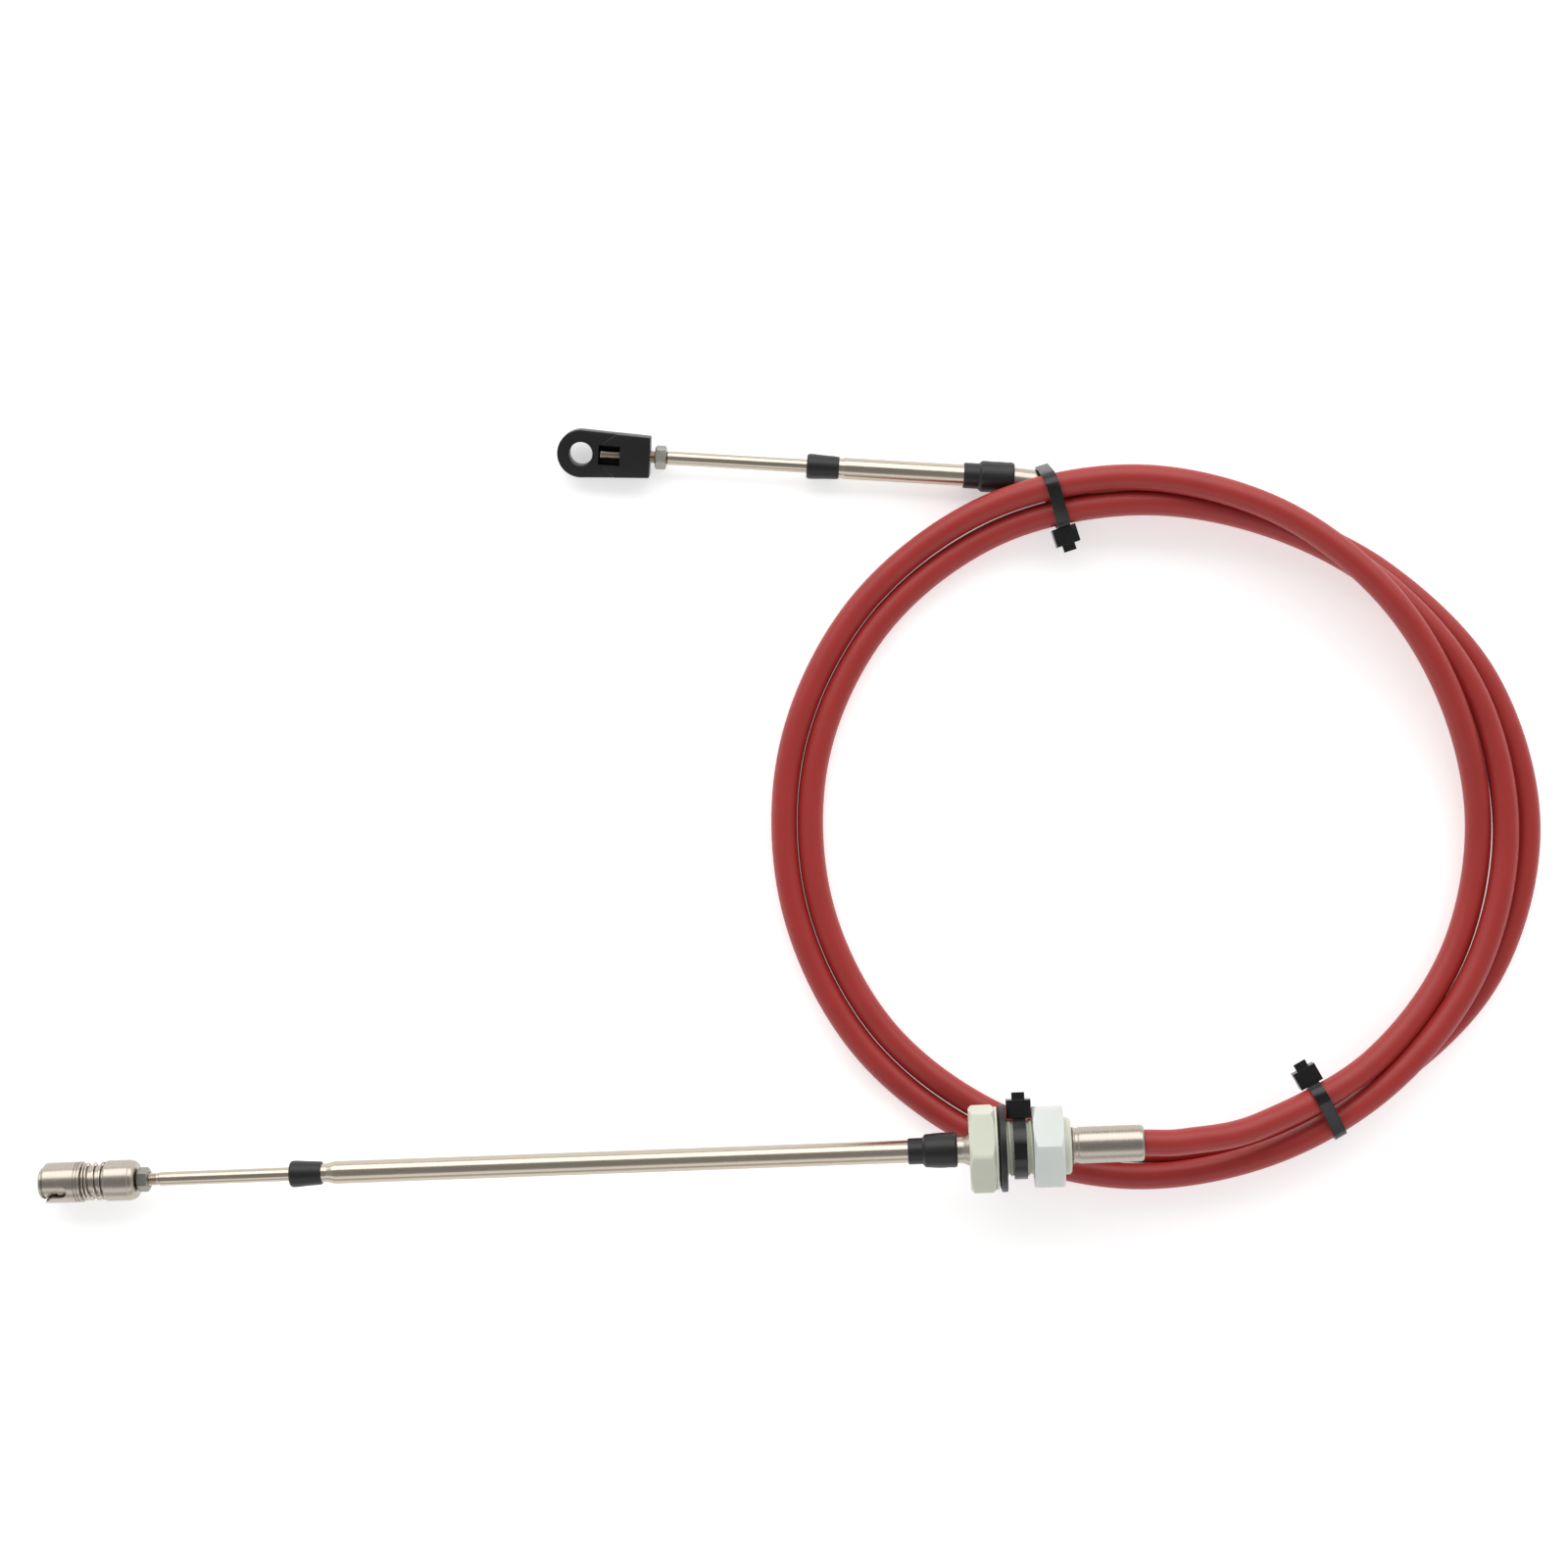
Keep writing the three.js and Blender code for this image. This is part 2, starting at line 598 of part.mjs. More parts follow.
function couplerBody() {
  const waist = couplerStart + END_RING_LENGTH;
  const body = turned([
    [couplerStart, 0], [couplerStart, COUPLER_RADIUS - COUPLER_CHAMFER],
    [couplerStart + COUPLER_CHAMFER, COUPLER_RADIUS],
    [waist, COUPLER_RADIUS], [waist, WAIST_RADIUS], [waist + WAIST_LENGTH, WAIST_RADIUS],
    [waist + WAIST_LENGTH, COUPLER_RADIUS], [collarStart, COUPLER_RADIUS],
    [collarStart, COLLAR_RADIUS - COLLAR_STEP_CHAMFER],
    [collarStart + COLLAR_STEP_CHAMFER, COLLAR_RADIUS],
    [couplerEnd - COLLAR_CHAMFER, COLLAR_RADIUS], [couplerEnd, COLLAR_RADIUS - COLLAR_CHAMFER],
    [couplerEnd, 0],
  ], WIDE_SEGMENTS);
  const studRoom = LOWER.studLength - LOWER.plainStart - JAM_LENGTH + STUD_END_ROOM;
  const socket = rod(couplerStart - OVERSHOOT, couplerStart + SOCKET_DEPTH, SOCKET_RADIUS);
  const studBore = rod(couplerEnd - studRoom, couplerEnd + OVERSHOOT, THREAD_RADIUS + GAP, SLIM_SEGMENTS);
  return cut(body, socket, studBore);
}

// The cutter of the sleeve's slot: a mouth that narrows to a slot with a round end
function slotCutter() {
  const outline = new THREE.Shape();
  const half = SLOT_WIDTH / 2;
  const straightEnd = SLOT_LENGTH - half;
  outline.moveTo(-OVERSHOOT, SLOT_MOUTH / 2);
  outline.lineTo(0, SLOT_MOUTH / 2);
  outline.lineTo(SLOT_MOUTH_DEPTH, half);
  outline.lineTo(straightEnd, half);
  outline.absarc(straightEnd, 0, half, Math.PI / 2, -Math.PI / 2, true);
  outline.lineTo(SLOT_MOUTH_DEPTH, -half);
  outline.lineTo(0, -SLOT_MOUTH / 2);
  outline.lineTo(-OVERSHOOT, -SLOT_MOUTH / 2);
  const outwards = { depth: SLEEVE_RADIUS, bevelEnabled: false, curveSegments: 8 };
  const cutter = new THREE.ExtrudeGeometry(outline, outwards);
  cutter.translate(sleeveStart, 0, SLEEVE_GROOVE);
  cutter.rotateX(radians(SLOT_TURN));
  return closed(cutter);
}

function releaseSleeve() {
  const bore = COUPLER_RADIUS + GAP;
  const lipBore = WAIST_RADIUS + GAP;
  const grooves = SLEEVE_GROOVES_AT.slice().reverse().flatMap((fromEnd) => {
    const x = sleeveEnd - fromEnd;
    return [[x, SLEEVE_RADIUS], [x, SLEEVE_RADIUS - SLEEVE_GROOVE],
      [x + SLEEVE_GROOVE_WIDTH, SLEEVE_RADIUS - SLEEVE_GROOVE], [x + SLEEVE_GROOVE_WIDTH, SLEEVE_RADIUS]];
  });
  const outside = [[sleeveStart, SLEEVE_RADIUS - SLEEVE_CHAMFER],
    [sleeveStart + SLEEVE_CHAMFER, SLEEVE_RADIUS], ...grooves,
    [sleeveEnd - SLEEVE_CHAMFER, SLEEVE_RADIUS], [sleeveEnd, SLEEVE_RADIUS - SLEEVE_CHAMFER]];
  const inside = [[sleeveStart, lipBore], [sleeveStart + SLEEVE_LIP, lipBore],
    [sleeveStart + SLEEVE_LIP, bore], [sleeveEnd, bore]];
  return cut(tubular(outside, inside, WIDE_SEGMENTS), slotCutter());
}

// A wire wound round the barrel, its first and last turns closed up
class SpringCurve extends THREE.Curve {
  constructor(from, to) {
    super();
    this.from = from;
    this.to = to;
  }

  getPoint(t, target = new THREE.Vector3()) {
    const turn = t * SPRING_TURNS;
    const closedPitch = SPRING_WIRE * 2 + SPRING_COIL_GAP;
    const open = this.to - this.from - 2 * closedPitch;
    const middle = THREE.MathUtils.clamp((turn - 1) / (SPRING_TURNS - 2), 0, 1);
    const closedTurns = Math.min(turn, 1) + Math.max(turn - SPRING_TURNS + 1, 0);
    const rise = closedPitch * closedTurns + open * middle;
    const angle = FULL * turn;
    return target.set(this.from + rise, SPRING_RADIUS * Math.cos(angle), SPRING_RADIUS * Math.sin(angle));
  }
}

function releaseSpring() {
  const margin = GAP + SPRING_WIRE;
  const path = new SpringCurve(sleeveEnd + margin, collarStart - margin);
  const sweep = { steps: SPRING_STEPS * SPRING_TURNS, extrudePath: path };
  return closed(new THREE.ExtrudeGeometry(roundSection(SPRING_WIRE, 6), sweep));
}

mesh('coupler_body', couplerBody(), STEEL, lower);
mesh('release_sleeve', releaseSleeve(), STEEL, lower);
mesh('release_spring', releaseSpring(), STEEL, lower);

// Plastic eye: drawn flat in its own X and Y, then rolled about the rod's axis
function rodEye() {
  const end = layout(UPPER).nutStart - EYE_TO_NUT;
  const start = end - EYE_LENGTH;
  const centre = start + EYE_RADIUS;
  const taper = Math.asin((EYE_RADIUS - EYE_END_WIDTH / 2) / (end - centre));
  const outline = new THREE.Shape();
  outline.moveTo(end, -EYE_END_WIDTH / 2);
  outline.lineTo(end, EYE_END_WIDTH / 2);
  outline.absarc(centre, 0, EYE_RADIUS, Math.PI / 2 - taper, 1.5 * Math.PI + taper, false);
  const upwards = { depth: EYE_THICKNESS, bevelEnabled: false, curveSegments: SEGMENTS };
  const plate = new THREE.ExtrudeGeometry(outline, upwards);
  plate.translate(0, 0, -EYE_THICKNESS / 2);
  const blockStart = end - EYE_BLOCK_LENGTH;
  const slope = (EYE_RADIUS - EYE_END_WIDTH / 2) / (end - centre);
  const blockHalf = (x) => EYE_END_WIDTH / 2 + (end - x) * slope - EYE_BLOCK_INSET;
  const slantEnd = blockStart + EYE_BLOCK_SLANT;
  const blockOutline = new THREE.Shape();
  blockOutline.moveTo(end, -EYE_END_WIDTH / 2);
  blockOutline.lineTo(end, EYE_END_WIDTH / 2);
  blockOutline.lineTo(slantEnd, blockHalf(slantEnd));
  blockOutline.lineTo(blockStart, EYE_BLOCK_NOSE / 2);
  blockOutline.lineTo(blockStart, -EYE_BLOCK_NOSE / 2);
  blockOutline.lineTo(slantEnd, -blockHalf(slantEnd));
  const block = new THREE.ExtrudeGeometry(blockOutline, { depth: EYE_BLOCK_THICKNESS, bevelEnabled: false });
  block.translate(0, 0, -EYE_BLOCK_THICKNESS / 2);
  const holeTall = EYE_BLOCK_THICKNESS * 2;
  const hole = new THREE.CylinderGeometry(EYE_HOLE_RADIUS, EYE_HOLE_RADIUS, holeTall, WIDE_SEGMENTS);
  hole.rotateX(Math.PI / 2);
  hole.translate(centre, 0, 0);
  const pocketEnd = end - POCKET_FROM_END;
  const pocketFloor = -EYE_BLOCK_THICKNESS / 2 + POCKET_FLOOR;
  const pocket = box([pocketEnd - POCKET_LENGTH, -POCKET_WIDTH / 2, pocketFloor],
    [pocketEnd, POCKET_WIDTH / 2, EYE_BLOCK_THICKNESS]);
  const studBore = rod(pocketEnd - OVERSHOOT, end + OVERSHOOT, THREAD_RADIUS + GAP, SLIM_SEGMENTS);
  const eye = cut(join(closed(plate), closed(block)), closed(hole), pocket, studBore);
  eye.rotateX(radians(EYE_ROLL));
  return eye;
}

mesh('rod_eye', rodEye(), BLACK_NYLON, upper);

// Cable ties. A tie lies in a plane; what it binds crosses that plane.
const jacketRings = jacketCurve.getSpacedPoints(jacketSteps);

// A round bar's outline where it crosses the plane moved by an offset, as [across, up] pairs
function barSection(centre, direction, radius, plane, offset) {
  const side = new THREE.Vector3().crossVectors(direction, plane.up).normalize();
  const top = new THREE.Vector3().crossVectors(side, direction).normalize();
  const points = [];
  for (let i = 0; i < SEGMENTS; i += 1) {
    const angle = (FULL * i) / SEGMENTS;
    const point = centre.clone().addScaledVector(side, radius * Math.cos(angle));
    point.addScaledVector(top, radius * Math.sin(angle));
    const flat = onPlane(point, direction, plane, offset).sub(plane.origin);
    points.push([flat.dot(plane.across), flat.dot(plane.up)]);
  }
  return points;
}

// Where a straight bar meets the plane moved by an offset
function onPlane(point, direction, plane, offset) {
  const gap = offset - point.clone().sub(plane.origin).dot(plane.normal);
  return point.clone().addScaledVector(direction, gap / direction.dot(plane.normal));
}

// Outlines of the jacket's turns near the plane's origin, across the strap's whole width
function jacketSections(plane) {
  const points = [];
  for (const offset of [-STRAP_WIDTH / 2, 0, STRAP_WIDTH / 2]) {
    for (let i = 1; i < jacketRings.length; i += 1) {
      const [a, b] = [jacketRings[i - 1], jacketRings[i]];
      const from = a.clone().sub(plane.origin).dot(plane.normal) - offset;
      const to = b.clone().sub(plane.origin).dot(plane.normal) - offset;
      const direction = b.clone().sub(a).normalize();
      const centre = from * to <= 0 ? onPlane(a, direction, plane, offset) : null;
      if (centre && centre.distanceTo(plane.origin) < TIE_REACH) {
        points.push(...barSection(centre, direction, JACKET_RADIUS + STRAP_GAP, plane, offset));
      }
    }
  }
  return points;
}

function barSections(point, direction, radius, plane) {
  return [-STRAP_WIDTH / 2, 0, STRAP_WIDTH / 2].flatMap((offset) => {
    const centre = onPlane(point, direction, plane, offset);
    return barSection(centre, direction, radius + STRAP_GAP, plane, offset);
  });
}

function turnsLeft(a, b, c) {
  return (b[0] - a[0]) * (c[1] - a[1]) - (b[1] - a[1]) * (c[0] - a[0]) > 1e-6;
}

// The tight loop round a set of points, and the same loop a strap's thickness further out
function tightLoop(points) {
  const sorted = points.slice().sort((a, b) => a[0] - b[0] || a[1] - b[1]);
  const half = (list) => list.reduce((hull, point) => {
    while (hull.length > 1 && !turnsLeft(hull.at(-2), hull.at(-1), point)) hull.pop();
    hull.push(point);
    return hull;
  }, []);
  return [...half(sorted).slice(0, -1), ...half(sorted.reverse()).slice(0, -1)];
}

function thickened(points) {
  const spread = points.flatMap(([x, y]) => Array.from({ length: SLIM_SEGMENTS }, (_, i) => {
    const angle = (FULL * i) / SLIM_SEGMENTS;
    return [x + STRAP_THICKNESS * Math.cos(angle), y + STRAP_THICKNESS * Math.sin(angle)];
  }));
  return tightLoop(spread);
}

function toVectors(points) {
  return points.map(([x, y]) => new THREE.Vector2(x, y));
}

// The loop's inner side at a height: its lowest across value there
function innerSide(loop, height) {
  const crossings = loop.map(([x, y], i) => {
    const [nextX, nextY] = loop[(i + 1) % loop.length];
    const share = (height - y) / (nextY - y);
    return share >= 0 && share <= 1 ? x + share * (nextX - x) : Infinity;
  });
  return Math.min(...crossings);
}

// A tie: loop, head on its inner side and a short tail; headUp is the head's height in the plane
function cableTie(plane, points, headUp) {
  const inner = tightLoop(points);
  const loop = new THREE.Shape(toVectors(thickened(inner)));
  loop.holes.push(new THREE.Path(toVectors(inner)));
  const band = new THREE.ExtrudeGeometry(loop, { depth: STRAP_WIDTH, bevelEnabled: false });
  band.translate(0, 0, -STRAP_WIDTH / 2);
  const heights = [-0.5, -0.25, 0, 0.25, 0.5].map((share) => headUp + share * TIE_HEAD.tall);
  const nearest = Math.min(...heights.map((height) => innerSide(inner, height)));
  const innerEdge = nearest - TIE_HEAD_OVERLAP;
  const headFrom = nearest - STRAP_THICKNESS - TIE_HEAD.out;
  const head = box([headFrom, headUp - TIE_HEAD.tall / 2, -TIE_HEAD.across / 2],
    [innerEdge, headUp + TIE_HEAD.tall / 2, TIE_HEAD.across / 2]);
  const tail = box([headFrom - TIE_TAIL, headUp - STRAP_THICKNESS / 2, -STRAP_WIDTH / 2],
    [headFrom + TIE_HEAD_OVERLAP, headUp + STRAP_THICKNESS / 2, STRAP_WIDTH / 2]);
  const tie = join(closed(band), head, tail);
  const frame = new THREE.Matrix4().makeBasis(plane.across, plane.up, plane.normal);
  frame.setPosition(plane.origin);
  tie.applyMatrix4(frame);
  return tie;
}

// A plane whose across points away from the coil's centre and whose up points up
function tiePlane(origin, outward) {
  const across = outward.clone().normalize();
  const normal = new THREE.Vector3().crossVectors(across, Z).normalize();
  return { origin, across, up: Z.clone(), normal };
}

function radialPlane(degrees) {
  const outward = new THREE.Vector3(Math.cos(radians(degrees)), Math.sin(radians(degrees)), 0);
  return tiePlane(outward.clone().multiplyScalar(COIL_STATIONS[0][0] + JACKET_RADIUS * 2), outward);
}

function fittingPlane() {
  const origin = along(lower.position, lowerAxis, washerBack + NUT_FROM_WASHER / 2);
  const across = new THREE.Vector3().crossVectors(lowerAxis, Z).normalize();
  const up = new THREE.Vector3().crossVectors(across, lowerAxis).normalize();
  return { origin, across, up, normal: lowerAxis.clone().negate() };
}

const topPlane = radialPlane(TIE_TOP_ANGLE);
const bottomPlane = radialPlane(TIE_BOTTOM_ANGLE);
const middlePlane = fittingPlane();
const topPoints = [...jacketSections(topPlane),
  ...barSections(upperFixed.position, upperHubAxis, UPPER.hubNeckRadius, topPlane)];
const middlePoints = [...jacketSections(middlePlane),
  ...barSections(lower.position, lowerAxis, BARREL_RADIUS, middlePlane)];
mesh('tie_top', cableTie(topPlane, topPoints, TIE_TOP_HEAD), BLACK_NYLON, coil);
mesh('tie_bottom', cableTie(bottomPlane, jacketSections(bottomPlane), TIE_BOTTOM_HEAD), BLACK_NYLON, coil);
mesh('tie_fitting', cableTie(middlePlane, middlePoints, TIE_FITTING_HEAD), BLACK_NYLON, coil);

export default object;
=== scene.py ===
# %% [markdown]
# # A trim cable, coiled and tied
#
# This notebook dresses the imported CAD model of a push-pull trim cable: a red jacket in two and a
# half turns, stainless guide tubes and rods, a pale nylon bulkhead fitting, a quick-release
# coupler, a black plastic eye and three cable ties.
#
# Run the cells from top to bottom. Almost every piece here is either a profile turned round an
# axis or a stack of rings, so two short functions, `turned` and `skin`, make most of the shapes.

# %% Load the frame
import math

import bmesh
import bpy
from mathutils import Matrix, Vector


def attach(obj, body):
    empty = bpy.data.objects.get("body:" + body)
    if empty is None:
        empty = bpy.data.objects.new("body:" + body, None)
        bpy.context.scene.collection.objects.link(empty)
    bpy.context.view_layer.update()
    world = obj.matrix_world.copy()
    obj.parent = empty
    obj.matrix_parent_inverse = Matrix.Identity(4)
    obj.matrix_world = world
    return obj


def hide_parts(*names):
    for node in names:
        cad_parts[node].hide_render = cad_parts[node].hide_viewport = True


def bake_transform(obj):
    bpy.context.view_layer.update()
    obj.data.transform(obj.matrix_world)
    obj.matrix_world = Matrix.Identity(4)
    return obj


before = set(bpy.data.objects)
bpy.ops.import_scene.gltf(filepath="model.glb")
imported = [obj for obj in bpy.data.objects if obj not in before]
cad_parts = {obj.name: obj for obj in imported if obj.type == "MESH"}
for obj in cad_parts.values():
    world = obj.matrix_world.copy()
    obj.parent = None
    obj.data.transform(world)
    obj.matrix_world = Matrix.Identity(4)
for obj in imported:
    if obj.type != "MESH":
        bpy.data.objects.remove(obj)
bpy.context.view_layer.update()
print("nodes:", len(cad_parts))

# %% [markdown]
# ## The camera
#
# The photograph looks straight down at a part lying on a white table. Straight lines stay
# straight, and the high end of the fitting looks a little larger than the low coil, so this is
# a view from about one metre. A lens of 63.5 mm on a 36 mm sensor then frames 595 mm of floor.

# %% Camera straight above the part
LENS_MM, SENSOR_MM = 63.5, 36
CAMERA_PLACE = (0.03474, 0.01261, 1.050)
camera_data = bpy.data.cameras.new("photograph view")
camera_data.lens = LENS_MM
camera_data.sensor_width = SENSOR_MM
camera_data.clip_start = 0.05
camera = bpy.data.objects.new("photograph view", camera_data)
camera.location = CAMERA_PLACE
bpy.context.collection.objects.link(camera)
bpy.context.scene.camera = camera
print("camera height:", camera.location.z, "m, lens:", camera_data.lens, "mm")

# %% [markdown]
# ## Colours and material nodes
#
# Colours are written as the hex numbers that a picture editor shows, and one function turns
# them into the linear values that Blender uses. A second small function adds a shader node and
# sets its inputs, so that each material below stays a few lines long.

# %% Functions for materials
def colour(code):
    """Linear RGBA from an sRGB hex code such as "a03030"."""
    values = [int(code[i:i + 2], 16) / 255 for i in (0, 2, 4)]
    linear = [v / 12.92 if v <= 0.04045 else ((v + 0.055) / 1.055) ** 2.4 for v in values]
    return (*linear, 1.0)


def add(tree, kind, inputs=None, **settings):
    """A shader node with its settings and inputs. An input may be a value or another socket."""
    node = tree.nodes.new(kind)
    for key, value in settings.items():
        setattr(node, key, value)
    for key, value in (inputs or {}).items():
        if isinstance(value, bpy.types.NodeSocket):
            tree.links.new(value, node.inputs[key])
        else:
            node.inputs[key].default_value = value
    return node


def new_material(name):
    """An empty node material and its Principled shader."""
    material = bpy.data.materials.new(name)
    material.use_nodes = True
    tree = material.node_tree
    return material, tree, tree.nodes["Principled BSDF"]


def noise(tree, size_mm, detail=3, roughness=0.5):
    """Noise on object coordinates. size_mm is the pattern's size along X, Y and Z."""
    place = add(tree, "ShaderNodeTexCoord").outputs["Object"]
    scale = tuple(1000 / size for size in size_mm)
    mapped = add(tree, "ShaderNodeMapping", {"Vector": place, "Scale": scale})
    inputs = {"Vector": mapped.outputs[0], "Scale": 1, "Detail": detail, "Roughness": roughness}
    return add(tree, "ShaderNodeTexNoise", inputs).outputs["Fac"]


def between(tree, factor, low, high):
    """A noise factor spread over the range from low to high."""
    inputs = {"Value": factor, "From Min": 0.3, "From Max": 0.7, "To Min": low, "To Max": high}
    return add(tree, "ShaderNodeMapRange", inputs).outputs["Result"]


def mixed(tree, factor, first, second):
    """Two colours mixed by a factor."""
    inputs = {0: factor, 6: colour(first), 7: colour(second)}
    return add(tree, "ShaderNodeMix", inputs, data_type="RGBA").outputs[2]


def bumped(tree, shader, height, strength, distance_mm):
    """Feeds a height into the shader's normal."""
    inputs = {"Height": height, "Strength": strength, "Distance": distance_mm / 1000}
    bump = add(tree, "ShaderNodeBump", inputs)
    tree.links.new(bump.outputs["Normal"], shader.inputs["Normal"])


# %% [markdown]
# ## Finishes
#
# Each material is named for the real finish. Plastics and rubber are one main colour with a
# faint mottle, a little roughness variation and a very fine bump.
#
# The jacket is extruded polyethylene with a satin skin. Image textures could colour it, but
# noise on object coordinates needs no unwrapping and has no seam anywhere on a long tube.

# %% Red jacket
red_jacket, tree, shader = new_material("red polyethylene jacket")
mottle = noise(tree, (14, 14, 14), detail=2)
tree.links.new(mixed(tree, mottle, "9b2824", "a82e2a"), shader.inputs["Base Color"])
grain = noise(tree, (0.7, 0.7, 0.7), detail=4)
tree.links.new(between(tree, grain, 0.40, 0.50), shader.inputs["Roughness"])
shader.inputs["IOR"].default_value = 1.5
bumped(tree, shader, grain, 0.25, 0.05)

# %% [markdown]
# Steel is metallic, so nearly all that shows is a reflection. A drawn tube has faint lines
# along it and a turned piece has them around it. Stretching the same noise along one axis or
# squeezing it gives both, so one function serves every steel here.

# %% Stainless steel, drawn or turned
def stainless(name, code, dark, lines_mm, roughness):
    """Bright steel with fine lines. lines_mm is the size of the lines along X, Y and Z."""
    material, tree, shader = new_material(name)
    lines = noise(tree, lines_mm, detail=2)
    tree.links.new(mixed(tree, lines, dark, code), shader.inputs["Base Color"])
    low, high = roughness
    tree.links.new(between(tree, lines, low, high), shader.inputs["Roughness"])
    shader.inputs["Metallic"].default_value = 1
    bumped(tree, shader, lines, 0.03, 0.02)
    return material


drawn_steel = stainless("drawn stainless tube", "c8bdae", "b9ae9f", (60, 0.25, 0.25), (0.16, 0.24))
turned_steel = stainless("turned stainless steel", "b9b1a6", "aea69b", (0.09, 8, 8), (0.24, 0.32))
spring_steel = stainless("stainless spring wire", "cfc7ba", "b5aca0", (1, 1, 1), (0.16, 0.24))
zinc = stainless("dull zinc plate", "a5a29a", "8d8a83", (1.5, 1.5, 1.5), (0.34, 0.46))


# %% [markdown]
# Moulded nylon lets a little light in and out again near its surface. Subsurface scattering
# shows that softness, which a plain pale colour wouldn't. The head is a little more yellow
# than the nut.

# %% Pale nylon
def nylon(name, code, dark, glow):
    """Pale plastic whose light spreads a little under the skin."""
    material, tree, shader = new_material(name)
    cloud = noise(tree, (9, 9, 9), detail=2)
    tree.links.new(mixed(tree, cloud, dark, code), shader.inputs["Base Color"])
    grain = noise(tree, (0.5, 0.5, 0.5), detail=3)
    tree.links.new(between(tree, grain, 0.34, 0.46), shader.inputs["Roughness"])
    shader.inputs["Subsurface Weight"].default_value = glow
    shader.inputs["Subsurface Radius"].default_value = (0.0025, 0.0025, 0.002)
    shader.inputs["Subsurface Scale"].default_value = 1
    bumped(tree, shader, grain, 0.2, 0.04)
    return material


pale_nylon = nylon("pale nylon", "d6d9c9", "cccfbc", 0.25)
white_nylon = nylon("white nylon", "dfe3e0", "d3d8d3", 0.25)


# %% [markdown]
# The black pieces differ mostly in how they shine: rubber is dull and grainy, the moulded eye is
# smoother, and the ties are glossy. One function with a roughness range makes all three.

# %% Black rubber and black nylon
def black(name, code, dark, roughness, grain_mm, strength):
    """A dark plastic or rubber with a fine grain."""
    material, tree, shader = new_material(name)
    grain = noise(tree, (grain_mm, grain_mm, grain_mm), detail=4)
    tree.links.new(mixed(tree, grain, dark, code), shader.inputs["Base Color"])
    low, high = roughness
    tree.links.new(between(tree, grain, low, high), shader.inputs["Roughness"])
    bumped(tree, shader, grain, strength, 0.05)
    return material


black_rubber = black("black rubber", "151518", "101012", (0.36, 0.5), 0.8, 0.25)
black_nylon = black("black nylon", "111113", "0c0c0e", (0.36, 0.46), 0.6, 0.2)
tie_nylon = black("glossy black nylon", "0d0d10", "08080a", (0.22, 0.3), 1.2, 0.1)
print("materials:", ", ".join(m.name for m in bpy.data.materials if m.users == 0))

# %% [markdown]
# ## Shapes
#
# Each end of the cable is drawn in millimetres in its own frame. Its origin is the swivel ball
# and its +X runs towards the coil, so the tube, rod and coupler lie at negative x. One matrix
# per end then carries the finished shape into the row frame, in metres.

# %% Frames of the two ends
MM = 0.001
TO_METRES = Matrix.Scale(MM, 4)
COUPLER_START = -337.8
LOWER_BALL = (0.092284, -0.123802, 0.027107)
LOWER_YAW = 2.52
LOWER_RISE = 3.12
UPPER_BALL = (0.114868, 0.12744, 0.0063)
UPPER_ROD_YAW = -3.36
UPPER_HUB_YAW = -6.98


def end_frame(ball, yaw, rise=0):
    """From an end's own millimetres to the row frame."""
    turn = Matrix.Rotation(math.radians(yaw), 4, "Z") @ Matrix.Rotation(-math.radians(rise), 4, "Y")
    return Matrix.Translation(ball) @ turn @ TO_METRES


lower = end_frame(LOWER_BALL, LOWER_YAW, LOWER_RISE)
upper = end_frame(UPPER_BALL, UPPER_ROD_YAW)
upper_hub = end_frame(UPPER_BALL, UPPER_HUB_YAW)
print("coupler's end:", [round(v, 4) for v in lower @ Vector((COUPLER_START, 0, 0))])

# %% [markdown]
# Almost every piece was made on a lathe or drawn through a die. Spinning a profile copies the
# lathe. Where a surface isn't round, as on a thread, a hexagon or a bent tube, joining rings of
# points does the same job. Primitives and modifiers could stand in for a few of them, but
# rings keep each measured radius as a plain number.

# %% Functions for shapes
def rounded(profile, steps=4):
    """Rounds the profile's corners. A corner is (x, radius) or (x, radius, rounding)."""
    points = []
    for i, corner in enumerate(profile):
        here = Vector(corner[:2])
        if len(corner) == 2:
            points.append(here)
            continue
        back = Vector(profile[i - 1][:2]) - here
        ahead = Vector(profile[(i + 1) % len(profile)][:2]) - here
        start = here + back.normalized() * min(corner[2], back.length * 0.49)
        end = here + ahead.normalized() * min(corner[2], ahead.length * 0.49)
        for step in range(steps + 1):
            t = step / steps
            points.append(start * (1 - t) ** 2 + here * 2 * t * (1 - t) + end * t ** 2)
    return points


def turned(profile, loop=False, segments=72):
    """A profile turned round the X axis. A loop closes it, for a piece with a bore."""
    bm = bmesh.new()
    verts = [bm.verts.new((p.x, p.y, 0)) for p in rounded(profile)]
    edges = [bm.edges.new(pair) for pair in zip(verts, verts[1:])]
    if loop:
        edges.append(bm.edges.new((verts[-1], verts[0])))
    bmesh.ops.spin(bm, geom=verts + edges, cent=(0, 0, 0), axis=(1, 0, 0),
                   angle=2 * math.pi, steps=segments, use_merge=True)
    bmesh.ops.remove_doubles(bm, verts=bm.verts, dist=1e-4)
    return bm


def skin(rings, loop=False):
    """Faces between rings of points. Without a loop, the two end rings are closed."""
    bm = bmesh.new()
    rows = [[bm.verts.new(point) for point in ring] for ring in rings]
    pairs = list(zip(rows, rows[1:]))
    if loop:
        pairs.append((rows[-1], rows[0]))
    for a, b in pairs:
        for i in range(len(a)):
            j = (i + 1) % len(a)
            bm.faces.new((a[i], a[j], b[j], b[i]))
    if not loop:
        bm.faces.new(rows[0])
        bm.faces.new(rows[-1])
    return bm


